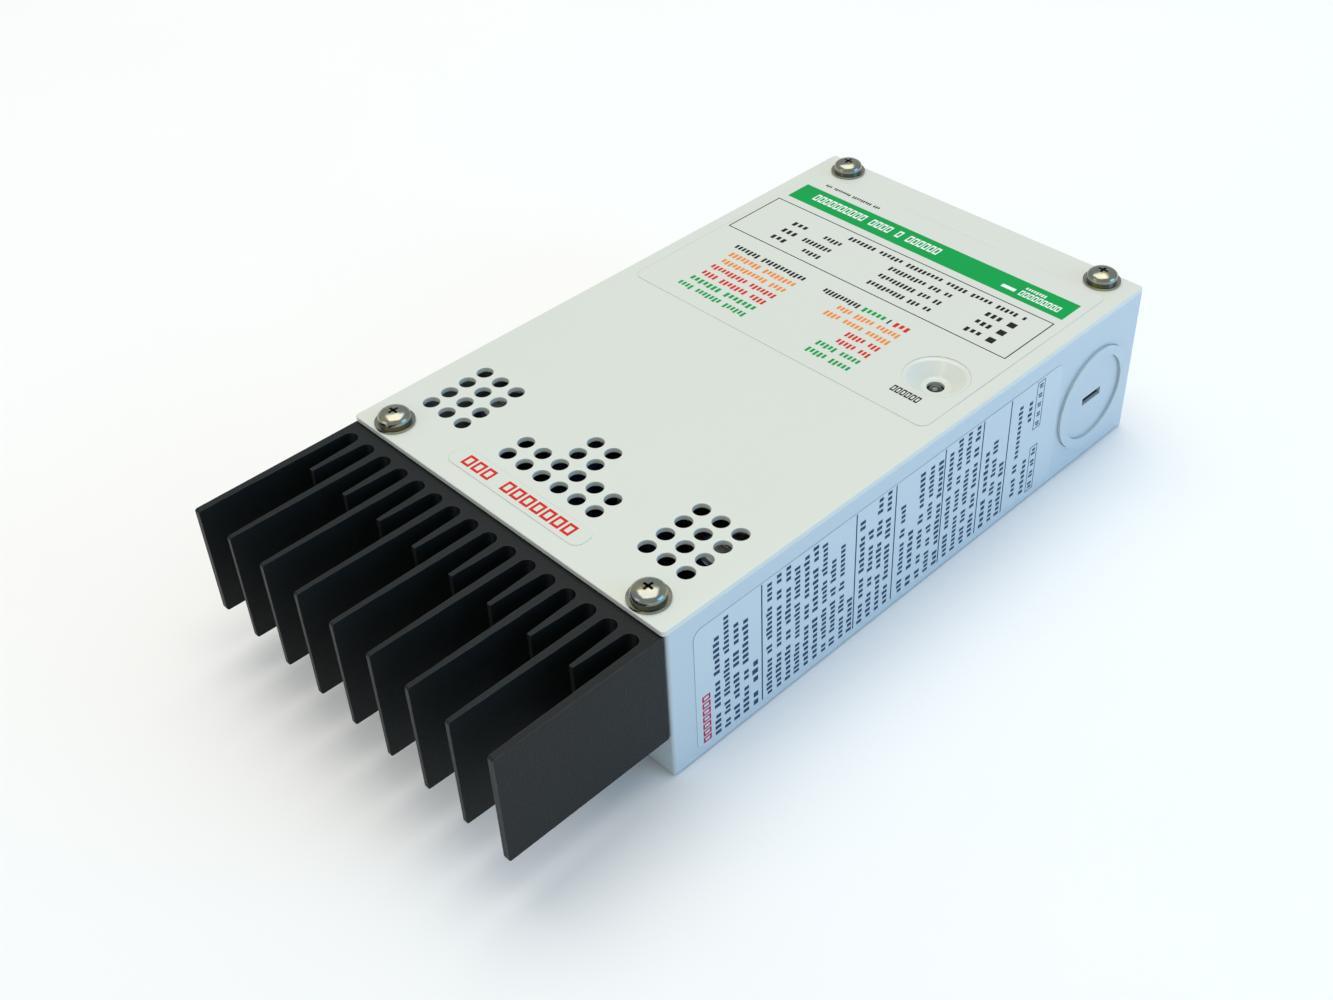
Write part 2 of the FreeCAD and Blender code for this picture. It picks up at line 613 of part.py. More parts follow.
disc = body_named("knockout_disc_master")
disc_face = sketch_on(disc, "disc_face")
circle(disc_face, "0", "0", "knockout_inner")
pad(disc, disc_face, "case_sheet")
disc_ties = sketch_on(disc, "disc_ties", shift=(0, 0, "knockout_lift"))
disc_reach = "sqrt((knockout_inner + knockout_cut)^2 - (knockout_tie/2)^2)"
rectangle(disc_ties, ("-knockout_tie/2", f"-{disc_reach}"), ("knockout_tie/2", disc_reach))
pad(disc, disc_ties, "case_sheet - knockout_lift")
disc_slot = sketch_on(disc, "disc_slot", shift=(0, 0, "case_sheet"))
rectangle(disc_slot, ("-knockout_slot_long/2", "-knockout_slot_wide/2"),
          ("knockout_slot_long/2", "knockout_slot_wide/2"))
pocket(disc, disc_slot, "case_sheet")

# Each copy is turned so that its thickness runs out of its wall and its slot lies level.
OUT_OF_LEFT = Rotation(Vector(0, 1, 0), Vector(0, 0, 1), Vector(-1, 0, 0), "ZXY")
OUT_OF_RIGHT = Rotation(Vector(0, -1, 0), Vector(0, 0, 1), Vector(1, 0, 0), "ZXY")
OUT_OF_END = Rotation(Vector(1, 0, 0), Vector(0, 0, 1), Vector(0, -1, 0), "ZXY")
KNOCKOUT_TURNS = [OUT_OF_LEFT, OUT_OF_RIGHT, OUT_OF_END, OUT_OF_END]


def knockout_places(lift):
    """Where the inner faces of the four knockouts lie, pushed out of the sheet by a lift."""
    height = "side_knockout_height"
    inside = f"(case_width/2 - case_sheet + {lift})"
    end = f"({TERMINAL_END} + case_sheet - {lift})"
    return [(f"-{inside}", KNOCKOUT_Y, height), (inside, KNOCKOUT_Y, height),
            ("-end_knockout_x", end, height), ("end_knockout_x", end, height)]


knockout_rings = copies("knockout_rings", ring, knockout_places("knockout_lift"), KNOCKOUT_TURNS)
knockout_discs = copies("knockout_discs", disc, knockout_places("0"), KNOCKOUT_TURNS)

# ---------------------------------------------------------------------------------------------
# Front cover: flat sheet with ventilation holes and a pressed dish for the status light
# ---------------------------------------------------------------------------------------------

cover = body_named("front_cover")
plate = sketch_on(cover, "cover_plate", shift=(0, 0, LID_SEAT))
rectangle(plate, ("-case_width/2", TERMINAL_END), ("case_width/2", f"{SINK_END} + cover_overhang"))
pad(cover, plate, "cover_sheet")
rounded(cover, "cover_corner", lambda edge: is_straight(edge, ALONG_Z))

SLOPE = "((dish_mouth - dish_floor)/dish_depth)"
boss = sketch_on(cover, "cover_dish_outside", "XZ_Plane", ("dish_x", 0, f"-{DISH_Y}"))
outline(boss, [("0", "case_depth - dish_depth - dish_skin"),
               ("dish_floor + dish_skin", "case_depth - dish_depth - dish_skin"),
               ("dish_mouth + dish_skin", f"{LID_SEAT} + cover_sheet/2"),
               ("0", f"{LID_SEAT} + cover_sheet/2")])
spun(cover, boss)
bowl = sketch_on(cover, "cover_dish_inside", "XZ_Plane", ("dish_x", 0, f"-{DISH_Y}"))
outline(bowl, [("0", "case_depth - dish_depth"), ("dish_floor", "case_depth - dish_depth"),
               ("dish_mouth", "case_depth"), (f"dish_mouth + {SLOPE}", "case_depth + 1"),
               ("0", "case_depth + 1")])
spun(cover, bowl, "Groove")

dish_middle = Vector(size_of("dish_x"), size_of(DISH_Y), 0)


def is_dish_ring(edge):
    """True for the round edges at the dish's mouth, inside floor and outside floor."""
    if edge.Curve.TypeId != "Part::GeomCircle":
        return False
    middle = edge.Curve.Center
    return (Vector(middle.x, middle.y, 0) - dish_middle).Length < 1e-3


rounded(cover, "dish_round",
        lambda edge: is_dish_ring(edge) and not at_level(edge, size_of(LID_SEAT)))

cover_holes = sketch_on(cover, "cover_holes", shift=(0, 0, "case_depth"))
for x, y in SCREW_PLACES:
    circle(cover_holes, x, y, "screw_shank/2 + washer_play")
circle(cover_holes, "dish_x", DISH_Y, "light_body/2 + light_play")
pocket(cover, cover_holes, "case_depth")

vents = sketch_on(cover, "cover_vents", shift=(0, 0, "case_depth"))
VENT_ROWS = 4
for row in range(VENT_ROWS):
    y = f"{SINK_END} - vent_first_row - {row}*vent_pitch_y"
    columns = [f"{side}*vent_side + {n}*vent_pitch_x" for side in (-1, 1) for n in (-1, 0, 1)]
    middle_pair = (-0.5, 0.5)
    middle_six = (-2.5, -1.5, -0.5, 0.5, 1.5, 2.5)
    columns += [f"{n}*vent_pitch_x" for n in (middle_six if row < 2 else middle_pair)]
    for x in columns:
        circle(vents, x, y, "vent_hole/2")
pocket(cover, vents, "cover_sheet")

corner_radius = size_of("cover_corner")
top_level = size_of("case_depth")
vent_radius = size_of("vent_hole/2")


def is_vent_edge(edge):
    return (edge.Curve.TypeId == "Part::GeomCircle" and at_level(edge, top_level)
            and abs(edge.Curve.Radius - vent_radius) < 1e-4)


def is_cover_rim(edge):
    """True for the outside top edge: its straight sides and its corner arcs."""
    if not at_level(edge, top_level):
        return False
    if edge.Curve.TypeId == "Part::GeomLine":
        return True
    return not edge.isClosed() and abs(edge.Curve.Radius - corner_radius) < 1e-4


rounded(cover, "vent_edge", is_vent_edge)
rounded(cover, "cover_edge", is_cover_rim)

# ---------------------------------------------------------------------------------------------
# Printed labels
# ---------------------------------------------------------------------------------------------

front_label = body_named("front_label")
front_face = sketch_on(front_label, "front_label_face", shift=(0, 0, "case_depth"))
rectangle(front_face, ("-front_label_width/2", f"{TERMINAL_END} + front_label_start"),
          ("front_label_width/2", f"{TERMINAL_END} + front_label_end"))
pad(front_label, front_face, "label_sheet")
rounded(front_label, "label_corner", lambda edge: is_straight(edge, ALONG_Z))
front_cut = sketch_on(front_label, "front_label_cut_out", shift=(0, 0, "case_depth + label_sheet"))
circle(front_cut, "dish_x", DISH_Y, "front_label_cut")
pocket(front_label, front_cut, "label_sheet")

vent_label = body_named("vent_label")
vent_face = sketch_on(vent_label, "vent_label_face", shift=(0, 0, "case_depth"))
VENT_LABEL_Y = f"{SINK_END} - vent_label_inset"
rectangle(vent_face, ("vent_label_x - vent_label_width/2", f"{VENT_LABEL_Y} - vent_label_height/2"),
          ("vent_label_x + vent_label_width/2", f"{VENT_LABEL_Y} + vent_label_height/2"))
pad(vent_label, vent_face, "label_sheet")
rounded(vent_label, "label_corner", lambda edge: is_straight(edge, ALONG_Z))

side_label = body_named("side_label")
side_face = sketch_on(side_label, "side_label_face", "YZ_Plane",
                      (0, 0, "-case_width/2 - label_sheet"))
rectangle(side_face, (f"{TERMINAL_END} + side_label_start", "side_label_low"),
          (f"{TERMINAL_END} + side_label_end", "side_label_high"))
pad(side_label, side_face, "label_sheet")
rounded(side_label, "label_corner", lambda edge: is_straight(edge, ALONG_X))

# ---------------------------------------------------------------------------------------------
# Cover screws with their washers, and the clinch nuts in the case's lips
# ---------------------------------------------------------------------------------------------


def pan_screw(name, shank, length, head, head_height):
    """A pan head screw with its head's underside on the XY plane and its tip down."""
    screw = body_named(name)
    profile = sketch_on(screw, name + "_profile", "XZ_Plane")
    outline(profile, [("0", f"-({length})"), (f"{shank}/2 - 0.4", f"-({length})"),
                      (f"{shank}/2", f"-({length}) + 0.5"), (f"{shank}/2", "0"),
                      (f"{head}/2", "0"), (f"{head}/2", f"0.45*{head_height}"),
                      (f"0.36*{head}", f"0.88*{head_height}"), ("0", head_height)])
    spun(screw, profile)
    cross = sketch_on(screw, name + "_recess", shift=(0, 0, head_height))
    arm = "recess_span/2"
    half = "recess_width/2"
    outline(cross, [(f"-{arm}", f"-{half}"), (f"-{half}", f"-{half}"), (f"-{half}", f"-{arm}"),
                    (half, f"-{arm}"), (half, f"-{half}"), (arm, f"-{half}"), (arm, half),
                    (half, half), (half, arm), (f"-{half}", arm), (f"-{half}", half),
                    (f"-{arm}", half)])
    pocket(screw, cross, "recess_depth")
    return screw


cover_screw = pan_screw("cover_screw_master", "screw_shank", "screw_length", "screw_head",
                        "screw_head_height")
cover_screws = copies("cover_screws", cover_screw, [(x, y, HEAD_SEAT) for x, y in SCREW_PLACES])

washer_bore = "screw_shank/2 + washer_play"
flat_washer = less("flat_washer_master",
                   rod("flat_washer_disc", "flat_washer/2", "flat_washer_sheet", ("0", "0", "0")),
                   rod("flat_washer_bore", washer_bore, "flat_washer_sheet", ("0", "0", "0")))
cover_flat_washers = copies("cover_flat_washers", flat_washer,
                            [(x, y, "case_depth") for x, y in SCREW_PLACES])

lock_washer = less("lock_washer_master",
                   rod("lock_washer_disc", "lock_washer/2", "lock_washer_height", ("0", "0", "0")),
                   rod("lock_washer_bore", washer_bore, "lock_washer_height", ("0", "0", "0")),
                   block("lock_washer_split", ("lock_washer", "0.6", "lock_washer_height"),
                         ("lock_washer/2", "0", "0")))
cover_lock_washers = copies("cover_lock_washers", lock_washer,
                            [(x, y, "case_depth + flat_washer_sheet") for x, y in SCREW_PLACES])

nut_bore = "screw_shank/2 + thread_play"
clinch_nut = less("clinch_nut_master",
                  joined("clinch_nut_blank",
                         rod("clinch_nut_body", "nut_body/2", "nut_height", ("0", "0", "0")),
                         rod("clinch_nut_collar", "nut_collar/2", "nut_height + case_sheet",
                             ("0", "0", "0"))),
                  rod("clinch_nut_thread", nut_bore, "nut_height + case_sheet", ("0", "0", "0")))
cover_nuts = copies("cover_nuts", clinch_nut,
                    [(x, y, f"{LID_SEAT} - case_sheet - nut_height") for x, y in SCREW_PLACES])

# ---------------------------------------------------------------------------------------------
# Heat sink: one black extrusion, nine long fins with a short fin between each pair
# ---------------------------------------------------------------------------------------------

LONG_FINS = 9
FIN_PITCH = f"((sink_width - fin_root)/{LONG_FINS - 1})"
TAPER = "((fin_root - fin_tip)/2)"
heat_sink = body_named("heat_sink")
slab = sketch_on(heat_sink, "heat_sink_slab", shift=(0, 0, SINK_LOW))
rectangle(slab, ("-sink_width/2", SINK_END), ("sink_width/2", f"{SINK_END} + sink_reach"))
pad(heat_sink, slab, "sink_height")

# One bay between two long fins, round the short fin in its middle. The outer faces of the two
# outermost fins stay flat, so each fin tapers on the faces that look into a bay.
bay = sketch_on(heat_sink, "heat_sink_bay", shift=(0, 0, f"{SINK_LOW} + sink_height"))
left = "-sink_width/2"
right = f"{left} + {FIN_PITCH}"
centre = f"({left} + fin_root/2 + {FIN_PITCH}/2)"
slot_y = f"({SINK_END} + sink_base + ({FIN_PITCH}/2 - fin_root)/2)"
tip_y = f"({SINK_END} + sink_reach)"
outline(bay, [(f"{left} + fin_root", slot_y), (f"{centre} - fin_root/2", slot_y),
              (f"{centre} - fin_tip/2", f"{SINK_END} + short_reach"),
              (f"{centre} + fin_tip/2", f"{SINK_END} + short_reach"),
              (f"{centre} + fin_root/2", slot_y), (right, slot_y),
              (f"{right} + {TAPER}", tip_y), (f"{left} + fin_root - {TAPER}", tip_y)],
        arcs=(0, 4))
bays = pocket(heat_sink, bay, "sink_height")
row_of_bays = heat_sink.newObject("PartDesign::LinearPattern", "heat_sink_bays")
row_of_bays.Originals = [bays]
row_of_bays.Direction = (bay, ["H_Axis"])
row_of_bays.setExpression("Length", bound(f"{LONG_FINS - 2}*{FIN_PITCH}"))
row_of_bays.Occurrences = LONG_FINS - 1
heat_sink.Tip = row_of_bays
doc.recompute()

tip_level = size_of(tip_y)
case_level = size_of(SINK_END)


def is_tip_edge(edge):
    """True for the short edges across the ends of the long fins."""
    return is_straight(edge, ALONG_X) and abs(edge.BoundBox.YMax - tip_level) < 1e-4


def is_base_corner(edge):
    """True for the two upright edges of the base next to the case."""
    return is_straight(edge, ALONG_Z) and abs(edge.BoundBox.YMax - case_level) < 1e-4


rounded(heat_sink, "fin_corner", is_tip_edge)
rounded(heat_sink, "sink_corner", is_base_corner)

threads = sketch_on(heat_sink, "heat_sink_threads", "XZ_Plane", (0, 0, f"-{SINK_END}"))
for x, z in SINK_SCREWS:
    circle(threads, x, z, "sink_screw/2")
pocket(heat_sink, threads, "sink_screw_bite + 0.2")
small_threads = sketch_on(heat_sink, "heat_sink_small_threads", "XZ_Plane", (0, 0, f"-{SINK_END}"))
for x in TRANSISTORS:
    circle(small_threads, x, TAB_HOLE_Z, "tab_screw/2")
pocket(heat_sink, small_threads, "tab_screw_bite + 0.2")

# A screw that points out through the end wall has its tip towards +Y.
TIP_TO_SINK = Rotation(Vector(1, 0, 0), 90)
sink_screw = pan_screw("heat_sink_screw_master", "sink_screw", "sink_screw_bite + case_sheet",
                       "sink_screw_head", "sink_screw_head_height")
heat_sink_screws = copies("heat_sink_screws", sink_screw,
                          [(x, f"{SINK_END} - case_sheet", z) for x, z in SINK_SCREWS], TIP_TO_SINK)

# ---------------------------------------------------------------------------------------------
# Power transistors, screwed to the heat sink through a window in the end wall
# ---------------------------------------------------------------------------------------------

pad_y = f"{SINK_END} - pad_sheet/2"
pad_holes = [rod(f"thermal_pad_hole_{n}", "tab_hole/2", "pad_sheet",
                 (x, f"{SINK_END} - pad_sheet", TAB_HOLE_Z), "y")
             for n, x in enumerate(TRANSISTORS, 1)]
thermal_pad = less("thermal_pad",
                   block("thermal_pad_sheet",
                         (f"2*{PAD_HALF}", "pad_sheet", "transistor_tab + 2*pad_margin"),
                         ("0", pad_y, "transistor_low - pad_margin")), *pad_holes)

TAB_FRONT = f"({SINK_END} - pad_sheet - tab_sheet)"
tabs = []
bodies = []
legs = []
for n, x in enumerate(TRANSISTORS, 1):
    tabs.append(less(f"transistor_tab_{n}",
                     block(f"transistor_plate_{n}",
                           ("transistor_width", "tab_sheet", "transistor_tab"),
                           (x, f"{TAB_FRONT} + tab_sheet/2", "transistor_low")),
                     rod(f"transistor_hole_{n}", "tab_hole/2", "tab_sheet",
                         (x, TAB_FRONT, TAB_HOLE_Z), "y")))
    bodies.append(block(f"transistor_body_{n}", ("transistor_width", "body_thick", "transistor_body"),
                        (x, f"{TAB_FRONT} - body_thick/2", "transistor_low")))
    for leg in (-1, 0, 1):
        legs.append(block(f"transistor_leg_{n}_{leg + 2}",
                          ("leg_wide", "leg_thick", f"transistor_low - {BOARD_TOP}"),
                          (f"{x} + {leg}*leg_pitch", f"{TAB_FRONT} - body_thick + leg_thick",
                           BOARD_TOP)))
transistor_tabs = together("transistor_tabs", *tabs)
transistor_bodies = together("transistor_bodies", *bodies)
transistor_legs = together("transistor_legs", *legs)
tab_screw = pan_screw("transistor_screw_master", "tab_screw",
                      "tab_screw_bite + pad_sheet + tab_sheet", "tab_screw_head",
                      "tab_screw_head_height")
transistor_screws = copies("transistor_screws", tab_screw,
                           [(x, TAB_FRONT, TAB_HOLE_Z) for x in TRANSISTORS], TIP_TO_SINK)

# ---------------------------------------------------------------------------------------------
# Circuit board on its standoffs
# ---------------------------------------------------------------------------------------------

board = body_named("circuit_board")
board_face = sketch_on(board, "board_face", shift=(0, 0, "case_sheet + standoff_height"))
outline(board_face, [(f"-{BOARD_HALF}", BOARD_END), (BOARD_HALF, BOARD_END),
                     (BOARD_HALF, NOTCH_Y), ("board_notch_x", NOTCH_Y),
                     ("board_notch_x", BOARD_FAR), ("-board_notch_x", BOARD_FAR),
                     ("-board_notch_x", NOTCH_Y), (f"-{BOARD_HALF}", NOTCH_Y)])
pad(board, board_face, "board_thick")
board_holes = sketch_on(board, "board_holes", shift=(0, 0, BOARD_TOP))
for x, y in STANDOFFS:
    circle(board_holes, x, y, "board_screw/2 + washer_play")
pocket(board, board_holes, "board_thick")

hexagon = doc.addObject("Part::Prism", "standoff_hexagon")
hexagon.Polygon = 6
hexagon.setExpression("Circumradius", bound("standoff_flats/sqrt(3)"))
hexagon.setExpression("Height", bound("standoff_height"))
standoff = less("standoff_master", hexagon,
                rod("standoff_thread", "board_screw/2 + thread_play", "standoff_height",
                    ("0", "0", "0")))
board_standoffs = copies("board_standoffs", standoff, [(x, y, "case_sheet") for x, y in STANDOFFS])
board_screw = pan_screw("board_screw_master", "board_screw", "board_screw_length",
                        "board_screw_head", "board_screw_head_height")
board_screws = copies("board_screws", board_screw, [(x, y, BOARD_TOP) for x, y in STANDOFFS])

# ---------------------------------------------------------------------------------------------
# Cable terminals: a housing, and in each bay a lug with a clamp screw
# ---------------------------------------------------------------------------------------------

BAY_WIDTH = "(lug_width + 2*lug_play)"
LUG_LOW = f"({BOARD_TOP} + lug_floor)"
LUG_TOP = f"({LUG_LOW} + lug_height)"
bays_cut = []
for n, x in enumerate(TERMINALS, 1):
    bays_cut.append(block(f"terminal_bay_{n}",
                          (BAY_WIDTH, "terminal_depth", "lug_height + lug_play"),
                          (x, f"{TERMINAL_Y} - terminal_wall", LUG_LOW)))
    bays_cut.append(rod(f"terminal_access_{n}", "access_hole/2", "terminal_height",
                        (x, TERMINAL_Y, LUG_TOP)))
terminal_housing = less("terminal_housing",
                        block("terminal_block", (HOUSING_WIDTH, "terminal_depth",
                                                 "terminal_height"),
                              (TERMINAL_X, TERMINAL_Y, BOARD_TOP)),
                        *bays_cut)

LUG_LENGTH = "(terminal_depth - 2*terminal_wall - 2*lug_play)"
lug = less("terminal_lug_master",
           block("lug_block", ("lug_width", LUG_LENGTH, "lug_height"), ("0", "0", "0")),
           block("lug_mouth", ("lug_width - 2*lug_wall", LUG_LENGTH, "lug_height - 2*lug_wall"),
                 ("0", "0", "lug_wall")),
           rod("lug_thread", "clamp_screw/2 + thread_play", "lug_height", ("0", "0", "lug_wall")))
terminal_lugs = copies("terminal_lugs", lug, [(x, TERMINAL_Y, LUG_LOW) for x in TERMINALS])


def slotted_screw(name, diameter, length, at):
    """A headless clamp screw with its tip at a place and a slot across its top."""
    return less(name, rod(name + "_blank", f"{diameter}/2", length, at),
                block(name + "_slot", (diameter, "clamp_slot", "clamp_slot"),
                      (at[0], at[1], f"{at[2]} + {length} - clamp_slot")))


terminal_screws = [slotted_screw(f"terminal_screw_{n}", "clamp_screw", "clamp_screw_length",
                                 (x, TERMINAL_Y, f"{LUG_TOP} - clamp_screw_start"))
                   for n, x in enumerate(TERMINALS, 1)]

# The ground lug stands on the back of the case, in the wiring space.
GROUND_Y = f"({TERMINAL_END} + ground_from_terminal)"
ground_lug = less("ground_lug",
                  block("ground_block", ("ground_block_width", "ground_block_length",
                                         "ground_block_height"), ("0", GROUND_Y, "case_sheet")),
                  rod("ground_wire_hole", "ground_bore/2", "ground_block_length",
                      ("0", f"{GROUND_Y} - ground_block_length/2",
                       "case_sheet + ground_block_height*0.4"), "y"),
                  rod("ground_thread", "ground_screw/2 + thread_play", "ground_block_height",
                      ("0", GROUND_Y, "case_sheet + ground_block_height*0.4")))
ground_screw = slotted_screw("ground_screw", "ground_screw", "ground_screw_length",
                             ("0", GROUND_Y, "case_sheet + ground_block_height - 2"))

# ---------------------------------------------------------------------------------------------
# Dials that set the bulk and float voltages
# ---------------------------------------------------------------------------------------------

FLUTES = 12


def dial(which, y):
    """A potentiometer body on the board and the knob that turns on it."""
    base = less(which + "_pot_body",
                block(which + "_pot_block", ("dial_base", "dial_base", "dial_base_height"),
                      ("dial_x", y, BOARD_TOP)),
                rod(which + "_pot_bore", "dial_spindle/2 + spindle_play", "spindle_depth + 0.3",
                    ("dial_x", y, f"{BOARD_TOP} + dial_base_height - spindle_depth - 0.3")))
    knob = body_named(which + "_knob")
    low = f"{BOARD_TOP} + dial_base_height + dial_gap"
    disc_sketch = sketch_on(knob, which + "_knob_disc", shift=("dial_x", y, low))
    circle(disc_sketch, "0", "0", "dial_knob/2")
    pad(knob, disc_sketch, "dial_knob_height")
    top_edge = size_of(f"{low} + dial_knob_height")
    rounded(knob, "dial_flute", lambda edge: at_level(edge, top_edge))
    flute_sketch = sketch_on(knob, which + "_knob_flute",
                             shift=("dial_x", y, f"{low} + dial_knob_height"))
    circle(flute_sketch, "dial_knob/2 + dial_flute/3", "0", "dial_flute")
    flute = pocket(knob, flute_sketch, "dial_knob_height - 1.5")
    flutes = knob.newObject("PartDesign::PolarPattern", which + "_knob_flutes")
    flutes.Originals = [flute]
    flutes.Axis = (flute_sketch, ["N_Axis"])
    flutes.Angle = 360
    flutes.Occurrences = FLUTES
    knob.Tip = flutes
    mark_sketch = sketch_on(knob, which + "_knob_mark",
                            shift=("dial_x", y, f"{low} + dial_knob_height"))
    rectangle(mark_sketch, ("-0.6", "-1.5"), ("0.6", "dial_knob/2 - 1.1"))
    pocket(knob, mark_sketch, "0.6")
    stem_sketch = sketch_on(knob, which + "_knob_spindle",
                            shift=("dial_x", y, f"{low} - dial_gap - spindle_depth"))
    circle(stem_sketch, "0", "0", "dial_spindle/2")
    pad(knob, stem_sketch, "spindle_depth + dial_gap + 1")
    return base, knob


bulk_pot_body, bulk_knob = dial("bulk", BULK_Y)
float_pot_body, float_knob = dial("float", FLOAT_Y)

# ---------------------------------------------------------------------------------------------
# Reset switch
# ---------------------------------------------------------------------------------------------

reset_switch_body = less("reset_switch_body",
                         block("reset_block", ("reset_base", "reset_base", "reset_base_height"),
                               ("reset_x", RESET_Y, BOARD_TOP)),
                         rod("reset_bore", "reset_button/2 + reset_play", "reset_sink + 0.9",
                             ("reset_x", RESET_Y,
                              f"{BOARD_TOP} + reset_base_height - reset_sink - 0.9")))
reset_button = body_named("reset_button")
RESET_LOW = f"{BOARD_TOP} + reset_base_height - reset_sink"
button_face = sketch_on(reset_button, "reset_button_face", shift=("reset_x", RESET_Y, RESET_LOW))
circle(button_face, "0", "0", "reset_button/2")
pad(reset_button, button_face, "reset_sink + reset_button_height")
button_top = size_of(f"{RESET_LOW} + reset_sink + reset_button_height")
rounded(reset_button, "0.6", lambda edge: at_level(edge, button_top))

# ---------------------------------------------------------------------------------------------
# Jumper headers, their pins and the caps that pull off them
# ---------------------------------------------------------------------------------------------

HEADER_PINS = 3
JUMPERS = (("mode", MODE_Y), ("equalize", EQUALIZE_Y), ("voltage", VOLTAGE_Y))
bases = []
pins = []
jumper_caps = []
for which, y in JUMPERS:
    bases.append(block(f"{which}_header_base",
                       (f"{HEADER_PINS}*header_pitch", "header_base", "header_base"),
                       ("header_x", y, BOARD_TOP)))
    for pin in range(HEADER_PINS):
        pins.append(block(f"{which}_header_pin_{pin + 1}",
                          ("header_pin", "header_pin", "header_pin_height - header_base"),
                          (f"(header_x + {pin - 1}*header_pitch)", y,
                           f"{BOARD_TOP} + header_base")))
    holes = [block(f"{which}_cap_hole_{side + 1}",
                   ("header_pin + 2*shunt_cap_play", "header_pin + 2*shunt_cap_play",
                    "shunt_cap_height - 0.6"),
                   (f"(header_x + {side - 1}*header_pitch)", y, f"{BOARD_TOP} + header_base + 0.1"))
             for side in (0, 1)]
    jumper_caps.append(less(f"{which}_jumper",
                            block(f"{which}_cap_block",
                                  ("shunt_cap_width", "shunt_cap_depth", "shunt_cap_height"),
                                  ("(header_x - header_pitch/2)", y,
                                   f"{BOARD_TOP} + header_base + 0.1")), *holes))
jumper_headers = together("jumper_headers", *bases)
header_pins = together("header_pins", *pins)

# ---------------------------------------------------------------------------------------------
# Sockets for the temperature sensor and the remote meter
# ---------------------------------------------------------------------------------------------

SOCKET_Y = f"({BOARD_END} + socket_depth/2)"
SOCKET_FRONT = BOARD_END


def modular_socket(name, x, width):
    """A modular jack: a box with a stepped mouth that opens towards the wiring space."""
    mouth_width = f"({width} - 2*socket_wall)"
    middle = f"({SOCKET_FRONT} + socket_mouth_depth/2)"
    return less(name, block(name + "_box", (width, "socket_depth", "socket_height"),
                            (x, SOCKET_Y, BOARD_TOP)),
                block(name + "_mouth", (mouth_width, "socket_mouth_depth", "socket_mouth_height"),
                      (x, middle, f"{BOARD_TOP} + socket_floor")),
                block(name + "_latch", (f"{mouth_width}/2", "socket_mouth_depth", "2"),
                      (x, middle, f"{BOARD_TOP} + socket_floor + socket_mouth_height")))


sensor_socket = modular_socket("sensor_socket", SENSOR_X, "sensor_socket_width")
meter_socket = modular_socket("meter_socket", METER_X, "meter_socket_width")
contacts = []
for which, middle, count in (("sensor", SENSOR_X, 4), ("meter", METER_X, 6)):
    for n in range(count):
        contacts.append(block(f"{which}_contact_{n + 1}",
                              ("contact_wire", "socket_mouth_depth - 3", "contact_wire"),
                              (f"({middle} + {n - (count - 1)/2}*contact_pitch)",
                               f"({SOCKET_FRONT} + socket_mouth_depth/2 + 1.5)",
                               f"{BOARD_TOP} + socket_floor")))
socket_contacts = together("socket_contacts", *contacts)

# ---------------------------------------------------------------------------------------------
# Status light, held up to the dish by a spacer
# ---------------------------------------------------------------------------------------------

LIGHT_TOP = "(case_depth - dish_depth + light_rise)"
LIGHT_LOW = f"({LIGHT_TOP} - light_height)"
status_light = body_named("status_light")
light_profile = sketch_on(status_light, "status_light_profile", "XZ_Plane",
                          ("dish_x", 0, f"-{DISH_Y}"))
outline(light_profile, [("0", LIGHT_LOW), ("light_flange/2", LIGHT_LOW),
                        ("light_flange/2", f"{LIGHT_LOW} + light_flange_height"),
                        ("light_body/2", f"{LIGHT_LOW} + light_flange_height"),
                        ("light_body/2", LIGHT_TOP), ("0", LIGHT_TOP)])
spun(status_light, light_profile)
light_top = size_of(LIGHT_TOP)
rounded(status_light, "light_body/2 - 0.1", lambda edge: at_level(edge, light_top))
light_spacer = less("light_spacer",
                    rod("light_spacer_tube", "spacer_outside/2", f"{LIGHT_LOW} - {BOARD_TOP}",
                        ("dish_x", DISH_Y, BOARD_TOP)),
                    rod("light_spacer_bore", "spacer_bore/2", f"{LIGHT_LOW} - {BOARD_TOP}",
                        ("dish_x", DISH_Y, BOARD_TOP)))
light_leads = together("light_leads", *[
    block(f"light_lead_{n + 2}", ("light_lead", "light_lead", f"{LIGHT_LOW} - {BOARD_TOP}"),
          (f"(dish_x + {n}*1.1)", DISH_Y, BOARD_TOP)) for n in (-1, 0, 1)])

# ---------------------------------------------------------------------------------------------
# Power path: busbars, current shunt and power capacitors
# ---------------------------------------------------------------------------------------------

BAR_FAR = f"({CAPACITOR_Y} + capacitor/2 + bar_past)"
busbars = together("busbars", *[
    block(f"busbar_{number}", ("bar_width", f"{BAR_FAR} - {SHUNT_Y}", "bar_height"),
          (x, f"({BAR_FAR} + {SHUNT_Y})/2", BOARD_TOP))
    for number, x in enumerate(("-bar_x", "bar_x"), 1)])

current_shunt = less("current_shunt",
                     block("shunt_block", ("shunt_length", "shunt_width", "shunt_rise"),
                           ("0", SHUNT_Y, BOARD_TOP)),
                     block("shunt_arch", ("shunt_length - 2*shunt_sheet", "shunt_width",
                                          "shunt_rise - shunt_sheet"), ("0", SHUNT_Y, BOARD_TOP)))

can = body_named("capacitor_master")
can_face = sketch_on(can, "capacitor_face")
circle(can_face, "0", "0", "capacitor/2")
pad(can, can_face, "capacitor_height")
can_top = size_of("capacitor_height")
rounded(can, "capacitor_crown", lambda edge: at_level(edge, can_top))
power_capacitors = copies("power_capacitors", can, [
    (x, CAPACITOR_Y, BOARD_TOP)
    for x in ("-capacitor_x", "-capacitor_near_x", "capacitor_near_x", "capacitor_x")])

# ---------------------------------------------------------------------------------------------
# Control electronics
# ---------------------------------------------------------------------------------------------

